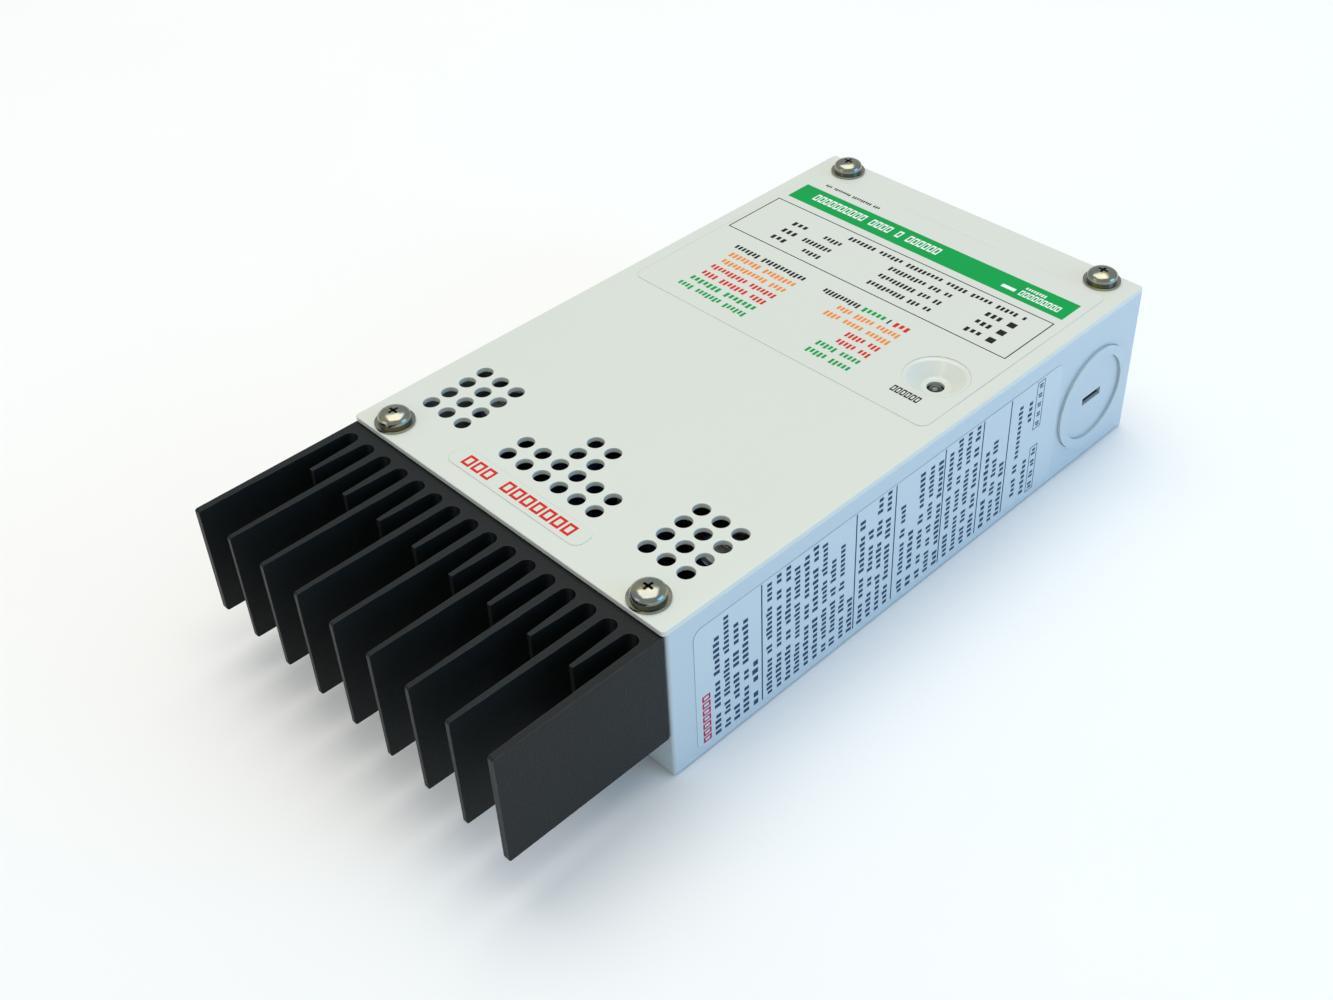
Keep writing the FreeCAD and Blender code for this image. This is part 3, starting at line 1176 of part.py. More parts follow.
chip_socket = less("chip_socket",
                   block("chip_socket_block", ("chip_socket_side", "chip_socket_side",
                                               "chip_socket_height"), ("0", CHIP_Y, BOARD_TOP)),
                   block("chip_socket_well", ("chip_side + 0.2", "chip_side + 0.2", "chip_height"),
                         ("0", CHIP_Y, f"{BOARD_TOP} + 1.4")))
controller_chip = block("controller_chip", ("chip_side", "chip_side", "chip_height"),
                        ("0", CHIP_Y, f"{BOARD_TOP} + 1.4"))


CHIPS = (-12, 0, 12)
CHIP_LEGS = [(x, side, leg) for x in CHIPS for side in (-1, 1) for leg in range(4)]
small_chips = together("small_chips", *[
    joined(f"small_chip_{n}",
           block(f"small_chip_body_{n}", ("6.4", "small_chip_length", "3.4"),
                 (x, SMALL_CHIP_Y, f"{BOARD_TOP} + 0.6")),
           *[block(f"small_chip_leg_{n}_{side + 1}_{leg}", ("0.3", "0.6", "2.2"),
                   (f"({x} + {side}*3.35)", f"({SMALL_CHIP_Y} + {leg - 1.5}*2.54)", BOARD_TOP))
             for middle, side, leg in CHIP_LEGS if middle == x])
    for n, x in enumerate(CHIPS, 1)])
CRYSTAL_X = "(chip_socket_side/2 + 5)"
crystal = joined("crystal",
                 block("crystal_can", ("4.4", "8", "3.6"), (CRYSTAL_X, CHIP_Y, BOARD_TOP)),
                 *[rod(f"crystal_end_{side + 2}", "2.2", "3.6",
                       (CRYSTAL_X, f"{CHIP_Y} + {side}*4", BOARD_TOP)) for side in (-1, 1)])


def axial_part(name, radius, length, wire, x, middle):
    """A part with a wire at each end that is bent down to the board."""
    rise = f"({BOARD_TOP} + {radius} + 0.2)"
    start = f"({middle} - {length}/2)"
    reach = 1.4
    pieces = [rod(name + "_body", radius, length, (x, start, rise), "y"),
              rod(name + "_wire", wire, f"{length} + {2*reach}", (x, f"{start} - {reach}", rise), "y")]
    for end, place in enumerate((f"{start} - {reach}", f"{start} + {length} + {reach}"), 1):
        pieces.append(rod(f"{name}_foot_{end}", wire, f"{radius} + 0.2", (x, place, BOARD_TOP)))
    return joined(name, *pieces)


resistors = together("resistors", *[
    axial_part(f"resistor_{n + 1}", 1.2, 6.4, 0.3, f"{(n - 4.5)*4}", RESISTOR_Y)
    for n in range(10)])
SUPPRESSOR_Y = f"({CAPACITOR_Y} + capacitor/2 + suppressor_gap)"
surge_suppressors = together("surge_suppressors", *[
    joined(f"surge_suppressor_{n}",
           rod(f"surge_disc_{n}", "7", "4.6", (f"{side}*capacitor_near_x", SUPPRESSOR_Y,
                                              f"{BOARD_TOP} + 8.5"), "y"),
           *[rod(f"surge_leg_{n}_{end + 1}", "0.4", "4",
                 (f"({side}*capacitor_near_x + {end}*3.75)", f"{SUPPRESSOR_Y} + 2.3", BOARD_TOP))
             for end in (-1, 1)])
    for n, side in enumerate((-1, 1), 1)])
diodes = together("diodes", *[
    axial_part(f"diode_{n + 1}", 2.6, 7.6, 0.6, f"{(n - 1.5)*11}", f"({SUPPRESSOR_Y} + 11.5)")
    for n in range(4)])
SMALL_CAPACITORS = (("dial_x", RIGHT_CAPACITOR_Y), ("33", SMALL_CHIP_Y), ("-33", SMALL_CHIP_Y),
                    ("-33", RESISTOR_Y))
small_capacitors = together("small_capacitors", *[
    rod(f"small_capacitor_{n}", "small_capacitor/2", "small_capacitor_height", (x, y, BOARD_TOP))
    for n, (x, y) in enumerate(SMALL_CAPACITORS, 1)])

# The regulator stands against the back of its fin, which is folded round it like a channel.
FIN_Y = f"({REGULATOR_Y} - 2.25)"
LEG_Y = f"({REGULATOR_Y} + regulator_depth/2 - 2.25)"
voltage_regulator = joined(
    "voltage_regulator",
    *[block(f"regulator_leg_{n + 2}", ("0.9", "0.5", "3.5"),
            (f"(dial_x + {n}*2.54)", LEG_Y, BOARD_TOP)) for n in (-1, 0, 1)],
    block("regulator_body", ("10", "4.5", "15"), ("dial_x", LEG_Y, f"{BOARD_TOP} + 3.5")))
regulator_fin = less(
    "regulator_fin",
    block("regulator_fin_block", ("16", "9", "20.5"), ("dial_x", FIN_Y, BOARD_TOP)),
    block("regulator_fin_gap", ("13.4", "7.7", "20.5"), ("dial_x", f"{FIN_Y} - 0.65", BOARD_TOP)))

# ---------------------------------------------------------------------------------------------
# Nodes
# ---------------------------------------------------------------------------------------------

nodes = [chassis, knockout_rings, knockout_discs, cover, front_label, vent_label, side_label,
         cover_screws, cover_flat_washers, cover_lock_washers, cover_nuts, heat_sink,
         heat_sink_screws, thermal_pad, transistor_tabs, transistor_bodies, transistor_legs,
         transistor_screws, board, board_standoffs, board_screws, terminal_housing, terminal_lugs,
         *terminal_screws, ground_lug, ground_screw, bulk_pot_body, bulk_knob, float_pot_body,
         float_knob, reset_switch_body, reset_button, jumper_headers, header_pins, *jumper_caps,
         sensor_socket, meter_socket, socket_contacts, status_light, light_spacer, light_leads,
         busbars, current_shunt, power_capacitors, chip_socket, controller_chip, small_chips,
         crystal, resistors, diodes, small_capacitors, surge_suppressors, voltage_regulator,
         regulator_fin]

doc.recompute()
for thing in doc.Objects:
    if "Invalid" in thing.State or "Error" in thing.State:
        raise RuntimeError(f"{thing.Label} did not build: {thing.State}")
for node in nodes:
    if node.Shape.isNull() or not node.Shape.isValid() or not node.Shape.Solids:
        raise RuntimeError(f"{node.Label} has no valid shape")

os.makedirs("parts", exist_ok=True)
for node in nodes:
    solids = Part.makeCompound([solid.copy() for solid in node.Shape.Solids])
    solids.exportStep(f"parts/{node.Label}.step")
print(len(nodes), "nodes,", sum(len(node.Shape.Solids) for node in nodes), "solids")
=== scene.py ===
import math
import random

import bpy
from mathutils import Matrix, Vector


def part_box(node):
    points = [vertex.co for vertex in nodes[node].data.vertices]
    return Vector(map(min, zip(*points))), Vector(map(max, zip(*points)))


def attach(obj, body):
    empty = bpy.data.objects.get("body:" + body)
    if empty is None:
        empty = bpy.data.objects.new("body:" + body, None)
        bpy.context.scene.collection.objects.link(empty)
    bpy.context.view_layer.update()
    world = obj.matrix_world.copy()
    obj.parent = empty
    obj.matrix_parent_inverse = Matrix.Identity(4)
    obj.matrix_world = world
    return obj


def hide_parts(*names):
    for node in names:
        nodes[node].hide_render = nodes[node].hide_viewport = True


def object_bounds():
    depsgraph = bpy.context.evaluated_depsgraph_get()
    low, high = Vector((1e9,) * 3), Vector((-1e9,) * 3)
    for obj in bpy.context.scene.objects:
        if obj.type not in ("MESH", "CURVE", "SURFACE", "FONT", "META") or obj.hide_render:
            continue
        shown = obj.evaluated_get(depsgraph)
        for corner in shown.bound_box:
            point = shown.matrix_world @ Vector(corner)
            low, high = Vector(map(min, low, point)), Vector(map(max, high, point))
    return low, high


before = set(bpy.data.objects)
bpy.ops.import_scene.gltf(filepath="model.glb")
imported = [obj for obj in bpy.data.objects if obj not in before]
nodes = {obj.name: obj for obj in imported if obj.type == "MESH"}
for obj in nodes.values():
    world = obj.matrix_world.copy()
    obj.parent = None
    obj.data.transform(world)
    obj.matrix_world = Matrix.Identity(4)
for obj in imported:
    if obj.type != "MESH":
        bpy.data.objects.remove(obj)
cad_low, cad_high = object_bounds()

# ---------------------------------------------------------------------------------------------
# Studio: a pale matt paper floor, one large soft lamp overhead, a cool lamp on the label side and
# a weaker one at the heat sink end. The camera looks down on the heat sink end from the left.
# ---------------------------------------------------------------------------------------------

scene = bpy.context.scene
scene.view_settings.view_transform = "Standard"
scene.view_settings.look = "None"


def plain_material(name):
    """A node material, its node tree and its Principled shader."""
    material = bpy.data.materials.new(name)
    material.use_nodes = True
    tree = material.node_tree
    return material, tree, tree.nodes["Principled BSDF"]


def wire(tree, start, start_socket, end, end_socket):
    tree.links.new(start.outputs[start_socket], end.inputs[end_socket])


world = bpy.data.worlds.new("studio_air")
world.use_nodes = True
air = world.node_tree.nodes["Background"]
air.inputs["Color"].default_value = (0.87, 0.945, 1.0, 1)
air.inputs["Strength"].default_value = 0.52
scene.world = world

FLOOR_SIZE = 8
FLOOR_GAP = 0.0004
bpy.ops.object.select_all(action="DESELECT")
bpy.ops.mesh.primitive_plane_add(size=FLOOR_SIZE, location=(0, 0, cad_low.z - FLOOR_GAP))
floor = bpy.context.object
floor.name = "studio_floor"
bpy.ops.object.transform_apply(location=True)
floor_paper, tree, shader = plain_material("floor_paper")
paper_grain = tree.nodes.new("ShaderNodeTexNoise")
paper_grain.inputs["Scale"].default_value = 90
paper_tone = tree.nodes.new("ShaderNodeMapRange")
paper_tone.inputs["To Min"].default_value = 0.93
paper_tone.inputs["To Max"].default_value = 0.95
wire(tree, paper_grain, "Fac", paper_tone, "Value")
wire(tree, paper_tone, "Result", shader, "Base Color")
shader.inputs["Roughness"].default_value = 0.9
floor.data.materials.append(floor_paper)


def soft_lamp(name, place, aim, size, power, colour):
    """A square soft lamp at a place, turned towards a point."""
    lamp = bpy.data.lights.new(name, "AREA")
    lamp.size = size
    lamp.energy = power
    lamp.color = colour
    holder = bpy.data.objects.new(name, lamp)
    scene.collection.objects.link(holder)
    away = Vector(place) - Vector(aim)
    holder.matrix_world = Matrix.Translation(place) @ away.to_track_quat("Z", "Y").to_matrix().to_4x4()


soft_lamp("overhead_lamp", (0.3, -0.2, 2.0), (0, 0, 0), 2.0, 30.0, (1.0, 0.945, 0.84))
soft_lamp("label_side_lamp", (-1.1, -0.5, 0.35), (0, 0, 0.02), 0.7, 5.2, (0.08, 0.50, 1.0))
soft_lamp("heat_sink_lamp", (0.35, 1.1, 0.4), (0, 0.1, 0.03), 0.5, 0.8, (0.98, 1.0, 0.98))

camera_data = bpy.data.cameras.new("camera")
camera = bpy.data.objects.new("camera", camera_data)
scene.collection.objects.link(camera)
view_from = (-0.2649, 0.2551, 0.3237)
view_along = Vector((0.5637, -0.5381, -0.6267)).normalized()
view_up = Vector((0.4275, -0.4591, 0.7788))
view_right = view_along.cross(view_up).normalized()
view_up = view_right.cross(view_along)
camera.matrix_world = Matrix.Translation(view_from) @ Matrix(
    (view_right, view_up, -view_along)).transposed().to_4x4()
camera_data.sensor_width = 36
camera_data.lens = 43.2
camera_data.shift_x = -0.026
camera_data.shift_y = -0.034
scene.camera = camera

# ---------------------------------------------------------------------------------------------
# Case: a tray folded from steel sheet, coated in off-white baked enamel. The pale blue-grey
# given to it here is painted shade: the cool shade on the side wall, laid into the enamel's colour.
# The knockouts are struck from the same sheet and coated with it. Its edges are paler, partly
# worn by handling and partly a painted highlight.
# ---------------------------------------------------------------------------------------------


def shader_group(name, inputs, outputs):
    """A shader group with named inputs (name, kind, value) and outputs (name, kind)."""
    group = bpy.data.node_groups.new(name, "ShaderNodeTree")
    for label, kind, value in inputs:
        socket = group.interface.new_socket(label, in_out="INPUT", socket_type="NodeSocket" + kind)
        socket.default_value = value
    for label, kind in outputs:
        group.interface.new_socket(label, in_out="OUTPUT", socket_type="NodeSocket" + kind)
    return group, group.nodes.new("NodeGroupInput"), group.nodes.new("NodeGroupOutput")


def node_in(tree, kind, operation=None, **values):
    """A shader node with plain values on its sockets."""
    node = tree.nodes.new(kind)
    if operation:
        node.operation = operation
    for label, value in values.items():
        node.inputs[label.replace("_", " ")].default_value = value
    return node


# Every finish starts from this one: a colour that drifts a little over the surface, fine grain,
# and a roughness that follows the grain.
finish_group, given, made = shader_group(
    "surface_finish",
    [("Colour", "Color", (0.8, 0.8, 0.8, 1)), ("Drift", "Float", 0.05),
     ("Drift Scale", "Float", 40.0), ("Grain Scale", "Float", 1500.0),
     ("Roughness", "Float", 0.4), ("Spread", "Float", 0.1)],
    [("Colour", "Color"), ("Roughness", "Float"), ("Height", "Float")])
tree = finish_group
place = tree.nodes.new("ShaderNodeTexCoord")
drift = node_in(tree, "ShaderNodeTexNoise", Detail=4.0)
wire(tree, place, "Object", drift, "Vector")
wire(tree, given, "Drift Scale", drift, "Scale")
grain = node_in(tree, "ShaderNodeTexNoise", Detail=3.0)
wire(tree, place, "Object", grain, "Vector")
wire(tree, given, "Grain Scale", grain, "Scale")
from_middle = node_in(tree, "ShaderNodeMath", "SUBTRACT")
from_middle.inputs[1].default_value = 0.5
wire(tree, drift, "Fac", from_middle, 0)
swing = node_in(tree, "ShaderNodeMath", "MULTIPLY")
wire(tree, from_middle, 0, swing, 0)
wire(tree, given, "Drift", swing, 1)
brightness = node_in(tree, "ShaderNodeMath", "ADD")
brightness.inputs[1].default_value = 1.0
wire(tree, swing, 0, brightness, 0)
tone = tree.nodes.new("ShaderNodeHueSaturation")
wire(tree, given, "Colour", tone, "Color")
wire(tree, brightness, 0, tone, "Value")
wire(tree, tone, "Color", made, "Colour")
grain_middle = node_in(tree, "ShaderNodeMath", "SUBTRACT")
grain_middle.inputs[1].default_value = 0.5
wire(tree, grain, "Fac", grain_middle, 0)
roughness_swing = node_in(tree, "ShaderNodeMath", "MULTIPLY")
wire(tree, grain_middle, 0, roughness_swing, 0)
wire(tree, given, "Spread", roughness_swing, 1)
roughness_sum = node_in(tree, "ShaderNodeMath", "ADD")
wire(tree, roughness_swing, 0, roughness_sum, 0)
wire(tree, given, "Roughness", roughness_sum, 1)
wire(tree, roughness_sum, 0, made, "Roughness")
wire(tree, grain, "Fac", made, "Height")

# A mask that is 1 along sharp edges, broken up in patches. What it lays there is wear on some
# finishes and painted light on others: a painted highlight on the heat sink's and the enamel's
# edges, a painted dark reflection on the zinc's.
worn_and_lit_edge_group, given, made = shader_group(
    "worn_and_lit_edges", [("Radius", "Float", 0.0006), ("Break Up", "Float", 300.0)], [("Mask", "Float")])
tree = worn_and_lit_edge_group
rounding = tree.nodes.new("ShaderNodeBevel")
rounding.samples = 4
wire(tree, given, "Radius", rounding, "Radius")
flat = tree.nodes.new("ShaderNodeNewGeometry")
lined_up = tree.nodes.new("ShaderNodeVectorMath")
lined_up.operation = "DOT_PRODUCT"
wire(tree, rounding, "Normal", lined_up, 0)
wire(tree, flat, "Normal", lined_up, 1)
edge = node_in(tree, "ShaderNodeMapRange", From_Min=0.995, From_Max=0.9)
wire(tree, lined_up, "Value", edge, "Value")
place = tree.nodes.new("ShaderNodeTexCoord")
patch = node_in(tree, "ShaderNodeTexNoise", Detail=5.0)
wire(tree, place, "Object", patch, "Vector")
wire(tree, given, "Break Up", patch, "Scale")
broken = node_in(tree, "ShaderNodeMapRange", From_Min=0.35, From_Max=0.65)
wire(tree, patch, "Fac", broken, "Value")
both = node_in(tree, "ShaderNodeMath", "MULTIPLY")
wire(tree, edge, "Result", both, 0)
wire(tree, broken, "Result", both, 1)
wire(tree, both, 0, made, "Mask")


def finish(name, colour, roughness, metallic=0.0, drift=0.06, drift_scale=40.0,
           grain_scale=1500.0, spread=0.1, bump=0.1, coat=0.0):
    """A material with the surface finish on its colour, roughness and bump."""
    material, tree, shader = plain_material(name)
    surface = tree.nodes.new("ShaderNodeGroup")
    surface.node_tree = finish_group
    for label, value in (("Colour", (*colour, 1)), ("Drift", drift), ("Drift Scale", drift_scale),
                         ("Grain Scale", grain_scale), ("Roughness", roughness),
                         ("Spread", spread)):
        surface.inputs[label].default_value = value
    wire(tree, surface, "Colour", shader, "Base Color")
    wire(tree, surface, "Roughness", shader, "Roughness")
    relief = node_in(tree, "ShaderNodeBump", Strength=bump, Distance=0.0002)
    relief.name = "relief"
    wire(tree, surface, "Height", relief, "Height")
    wire(tree, relief, "Normal", shader, "Normal")
    shader.inputs["Metallic"].default_value = metallic
    shader.inputs["Coat Weight"].default_value = coat
    return material


COLOUR_BELOW, COLOUR_ABOVE, COLOUR_MIXED = 6, 7, 2


def tint(material, mask, mask_socket, colour):
    """Lay a colour over a material's own where a mask says so."""
    tree = material.node_tree
    shader = tree.nodes["Principled BSDF"]
    below = shader.inputs["Base Color"].links[0].from_socket
    mix = tree.nodes.new("ShaderNodeMix")
    mix.data_type = "RGBA"
    wire(tree, mask, mask_socket, mix, "Factor")
    tree.links.new(below, mix.inputs[COLOUR_BELOW])
    mix.inputs[COLOUR_ABOVE].default_value = (*colour, 1)
    wire(tree, mix, COLOUR_MIXED, shader, "Base Color")


def paint_edge_wear_and_light(material, colour, radius=0.0006, break_up=300.0):
    """Show another colour along a material's edges."""
    mask = material.node_tree.nodes.new("ShaderNodeGroup")
    mask.node_tree = worn_and_lit_edge_group
    mask.inputs["Radius"].default_value = radius
    mask.inputs["Break Up"].default_value = break_up
    tint(material, mask, "Mask", colour)


def dress(material, *names):
    """Give CAD nodes a material."""
    for name in names:
        nodes[name].data.materials.clear()
        nodes[name].data.materials.append(material)


# Its blue-grey colour is painted shade, darker and bluer than the cover, for the side wall's shade.
case_enamel = finish("case_enamel", (0.52, 0.61, 0.655), 0.36, drift=0.035, drift_scale=25,
                     grain_scale=900, spread=0.08, bump=0.10, coat=0.25)
# Paler edges: partly wear from handling, partly a painted highlight.
paint_edge_wear_and_light(case_enamel, (0.66, 0.74, 0.78), 0.0005)
tree = case_enamel.node_tree
specks_place = tree.nodes.new("ShaderNodeTexCoord")
dust = node_in(tree, "ShaderNodeTexNoise", Scale=620.0, Detail=2.0)
wire(tree, specks_place, "Object", dust, "Vector")
specks = node_in(tree, "ShaderNodeMapRange", From_Min=0.70, From_Max=0.78)
wire(tree, dust, "Fac", specks, "Value")
tint(case_enamel, specks, "Result", (0.52, 0.57, 0.60))
dress(case_enamel, "chassis", "knockout_rings", "knockout_discs")

# ---------------------------------------------------------------------------------------------
# Front cover: flat steel sheet in a warmer off-white enamel, punched for air and pressed into a
# dish for the status light. It is screwed to the case's lips. Its cut edges are paler, partly worn
# by rubbing and partly a painted highlight.
# ---------------------------------------------------------------------------------------------

cover_enamel = finish("cover_enamel", (0.69, 0.715, 0.65), 0.33, drift=0.03, drift_scale=18,
                      grain_scale=800, spread=0.08, bump=0.08, coat=0.3)
# Paler edges: partly wear from rubbing, partly a painted highlight.
paint_edge_wear_and_light(cover_enamel, (0.78, 0.84, 0.80), 0.0004)
dress(cover_enamel, "front_cover")

# ---------------------------------------------------------------------------------------------
# Printed labels: thin polyester film, trimmed with round corners and stuck to the cover and the
# case. The front one carries a green title band and coloured rows. The ink is a thin solid layer,
# all plain bars and hollow boxes with no letters.
# ---------------------------------------------------------------------------------------------

label_film = finish("label_film", (0.695, 0.72, 0.655), 0.24, drift=0.02, drift_scale=14,
                    grain_scale=500, spread=0.06, bump=0.03, coat=0.35)
paint_edge_wear_and_light(label_film, (0.30, 0.32, 0.31), 0.00028, 30.0)
dress(label_film, "front_label", "vent_label")
# The side label's film is a bluer, darker copy of the front film: painted shade of the side wall.
side_film_painted_shade = finish("side_film_painted_shade", (0.54, 0.63, 0.675), 0.24, drift=0.02, drift_scale=14,
                   grain_scale=500, spread=0.06, bump=0.03, coat=0.35)
paint_edge_wear_and_light(side_film_painted_shade, (0.25, 0.31, 0.36), 0.00022, 30.0)
dress(side_film_painted_shade, "side_label")

INK_GLOSS = 0.12
inks = {}
for ink_name, ink_colour in (("black", (0.012, 0.012, 0.013)), ("green", (0.0, 0.34, 0.07)),
                             ("red", (0.66, 0.025, 0.015)), ("orange", (0.86, 0.25, 0.035)),
                             ("white", (0.86, 0.88, 0.86)), ("navy", (0.015, 0.05, 0.12)),
                             ("crimson", (0.50, 0.012, 0.07))):
    inks[ink_name] = finish("ink_" + ink_name, ink_colour, 0.38, drift=0.12, drift_scale=120,
                            grain_scale=2500, spread=0.1, bump=0.04)
    ink_shader = inks[ink_name].node_tree.nodes["Principled BSDF"]
    ink_shader.inputs["Specular IOR Level"].default_value = INK_GLOSS

MM = 0.001
INK = 0.03 * MM
terminal_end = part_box("chassis")[0].y
FRONT = Matrix(((1, 0, 0, 0), (0, 1, 0, terminal_end),
                (0, 0, 1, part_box("front_label")[1].z), (0, 0, 0, 1)))
SIDE = Matrix(((0, 0, -1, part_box("side_label")[0].x), (0, 1, 0, terminal_end),
               (1, 0, 0, 0), (0, 0, 0, 1)))
printed = {}


def keep_print(piece, label, ink):
    """Move a piece of print from the XY plane to its label and sort it by ink."""
    piece.data.transform(FRONT if label == "front" else SIDE)
    piece.data.materials.append(inks[ink])
    printed.setdefault((label, ink), []).append(piece)


def raise_print():
    """Give the flat mesh being edited the thickness of ink."""
    bpy.ops.mesh.select_all(action="SELECT")
    bpy.ops.mesh.extrude_region_move(TRANSFORM_OT_translate={"value": (0, 0, INK)})
    bpy.ops.mesh.select_all(action="SELECT")
    bpy.ops.mesh.normals_make_consistent(inside=False)
    bpy.ops.object.mode_set(mode="OBJECT")


def print_bar(label, ink, start, end, low, high):
    """One solid bar of ink between two lengths and two heights, in millimetres."""
    bpy.ops.object.select_all(action="DESELECT")
    bpy.ops.mesh.primitive_plane_add(size=1, location=(0, 0, 0))
    piece = bpy.context.object
    piece.scale = ((end - start) * MM, (high - low) * MM, 1)
    piece.location = ((start + end) / 2 * MM, (low + high) / 2 * MM, 0)
    bpy.ops.object.transform_apply(location=True, scale=True)
    bpy.ops.object.mode_set(mode="EDIT")
    raise_print()
    keep_print(piece, label, ink)


def print_frame(label, ink, start, end, low, high, line):
    """An outline of four thin bars."""
    print_bar(label, ink, start, end, low, low + line)
    print_bar(label, ink, start, end, high - line, high)
    print_bar(label, ink, start, start + line, low + line, high - line)
    print_bar(label, ink, end - line, end, low + line, high - line)


LETTER_COLUMNS = 5
LETTER_ROWS = 5
TALL_SHARE = 0.45


def print_row(label, ink, start, end, middle, height, words, even=False):
    """A row of bars with gaps between words, some taller. An even row is of hollow boxes."""
    letters = sum(words) + len(words) - 1
    bpy.ops.object.select_all(action="DESELECT")
    bpy.ops.mesh.primitive_grid_add(x_subdivisions=LETTER_COLUMNS * letters - 1,
                                    y_subdivisions=LETTER_ROWS, size=1, location=(0, 0, 0))
    piece = bpy.context.object
    piece.scale = ((end - start) * MM, height * MM, 1)
    piece.location = ((start + end) / 2 * MM, middle * MM, 0)
    bpy.ops.object.transform_apply(location=True, scale=True)
    breaks = []
    for word in words[:-1]:
        breaks.append(sum(words[:len(breaks) + 1]) + len(breaks))
    chance = random.Random(int(start * 31 + middle * 7 + letters))
    tall = [chance.random() < TALL_SHARE or even for _ in range(letters)]
    filled = LETTER_COLUMNS - (1 if even else 2)
    cell = (end - start) * MM / (LETTER_COLUMNS * letters - 1)
    doomed = []
    for face in piece.data.polygons:
        column = int((face.center.x - start * MM) / cell)
        row = int((face.center.y - (middle - height / 2) * MM) / (height * MM / LETTER_ROWS))
        letter, across = divmod(column, LETTER_COLUMNS)
        top = LETTER_ROWS - (1 if tall[letter] else 2)
        gap = across >= filled or letter in breaks
        hollow = even and across in (1, 2) and 0 < row < top
        if gap or row > top or hollow:
            doomed.append(face.index)
    bpy.ops.object.mode_set(mode="EDIT")
    bpy.ops.mesh.select_mode(type="FACE")
    bpy.ops.mesh.select_all(action="DESELECT")
    bpy.ops.object.mode_set(mode="OBJECT")
    for index in doomed:
        piece.data.polygons[index].select = True
    bpy.ops.object.mode_set(mode="EDIT")
    bpy.ops.mesh.delete(type="FACE")
    raise_print()
    keep_print(piece, label, ink)


def lift_print(ink):
    """Lay the front label's last piece of an ink on top of the print under it."""
    printed[("front", ink)][-1].data.transform(Matrix.Translation((0, 0, INK)))


# Title band, with a two-line mark at its left end
print_bar("front", "green", -55, 55.6, 22.0, 32.0)
for start, end, middle, height, words, even in (
        (-51.6, -37.0, 28.2, 3.0, (9,), True), (-44.5, -37.0, 25.2, 1.5, (8,), False),
        (-4.5, 48.0, 26.6, 4.0, (6, 1, 4, 10), True)):
    print_row("front", "white", start, end, middle, height, words, even)
    lift_print("white")
print_bar("front", "white", -35.4, -30.4, 27.6, 29.2)
lift_print("white")
print_row("front", "black", 27.2, 50.7, 18.3, 1.3, (3, 9, 8, 3))

# Table in its outline: a check box, a name, a description and two ratings in each row
TABLE_FIRST = 44.3
TABLE_PITCH = 5.2
CHECK_BOX_HALF = 1.3
print_frame("front", "black", -54.7, 56.7, 35.2, 59.6, 0.35)
print_row("front", "black", -47.0, 22.4, 39.1, 2.1, (1, 5, 5, 5, 9, 6, 7))
for row in range(3):
    middle = TABLE_FIRST + TABLE_PITCH * row
    print_bar("front", "black", -47.2, -44.6, middle - CHECK_BOX_HALF, middle + CHECK_BOX_HALF)
    print_row("front", "black", -41.9, -36.0, middle, 2.3, (3,))
    print_row("front", "black", -23.0, 1.4, middle, 2.3, (2, 3, 10))
    print_row("front", "black", 21.5, 33.0 if row == 1 else 28.8, middle, 2.3,
              (8,) if row == 1 else (5,))
    print_row("front", "black", 36.2, 42.2, middle, 2.3, (3,))

# What the light's colours mean: a left and a right column, in the colour that each row is about.
# Each row gives its ink, then where each column ends and its words' lengths.
LEGEND_FIRST = 94.2
LEGEND_PITCH = 4.47
LEGEND = (("green", -8.7, (5, 5), 44.8, (6, 7, 4)), ("green", -8.8, (5, 5), 44.0, (7, 7)),
          ("red", -12.6, (3, 5), 43.3, (4, 7, 4)), ("red", -12.4, (3, 5), 43.7, (7, 10)),
          ("orange", 0.0, (6, 5, 4), 43.4, (4, 12)), ("orange", -1.1, (6, 5, 4), 44.2, (8, 8)))
for row, (ink, left_end, left_words, right_end, right_words) in enumerate(LEGEND):
    middle = LEGEND_FIRST - LEGEND_PITCH * row
    print_row("front", ink, -25.0, left_end, middle, 2.5, left_words)
    print_row("front", ink, 16.6, right_end, middle, 2.5, right_words)
print_row("front", "red", -25.2, -19.6, 67.4, 2.5, (3,))
print_bar("front", "black", -18.2, -17.6, 66.2, 68.7)
print_row("front", "green", -16.0, -7.4, 67.4, 2.5, (5,))
print_row("front", "black", -6.0, 8.3, 67.4, 2.5, (11,))
print_row("front", "black", 16.4, 46.2, 67.4, 2.5, (12, 7))
print_row("front", "black", -49.3, -39.5, 92.0, 2.9, (6,), even=True)

# Small label by the vents: one large red line
SIGN_MARGIN = 5
vent_low, vent_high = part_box("vent_label")
sign_middle = (vent_low.y + vent_high.y) / 2 / MM - terminal_end / MM
print_row("front", "red", vent_low.x / MM + SIGN_MARGIN, vent_high.x / MM - SIGN_MARGIN,
          sign_middle, 4.1, (7, 3), even=True)

# Side label: blocks of small rows that read up the wall, with a rule after each block. A block
# gives its first row's place, its pitch, where each row ends and the place of its rule.
ROW_START = 3.8
ROW_LETTER = 1.62
RULE_HALF = 0.22
print_row("side", "crimson", 4.2, 21.5, 191.4, 2.9, (7,), even=True)
SIDE_BLOCKS = (
    (187.4, 3.5, (39.7, 44.4, 39.4, 38.3, 20.9), 170.7),
    (168.0, 3.58, (44.6, 45.4, 45.6, 43.0, 44.4, 45.5, 43.9, 35.8, 38.7, 16.8), 133.9),
    (131.3, 3.6, (42.1, 36.5, 45.6, 45.8), 117.5),
    (114.0, 4.0, (36.6, 24.9, 43.5, 43.3, 43.0), 96.2),
    (93.4, 4.0, (43.0, 45.6, 45.6, 45.6), 78.8),
    (75.7, 3.85, (32.8, 34.9, 24.5), 65.8))
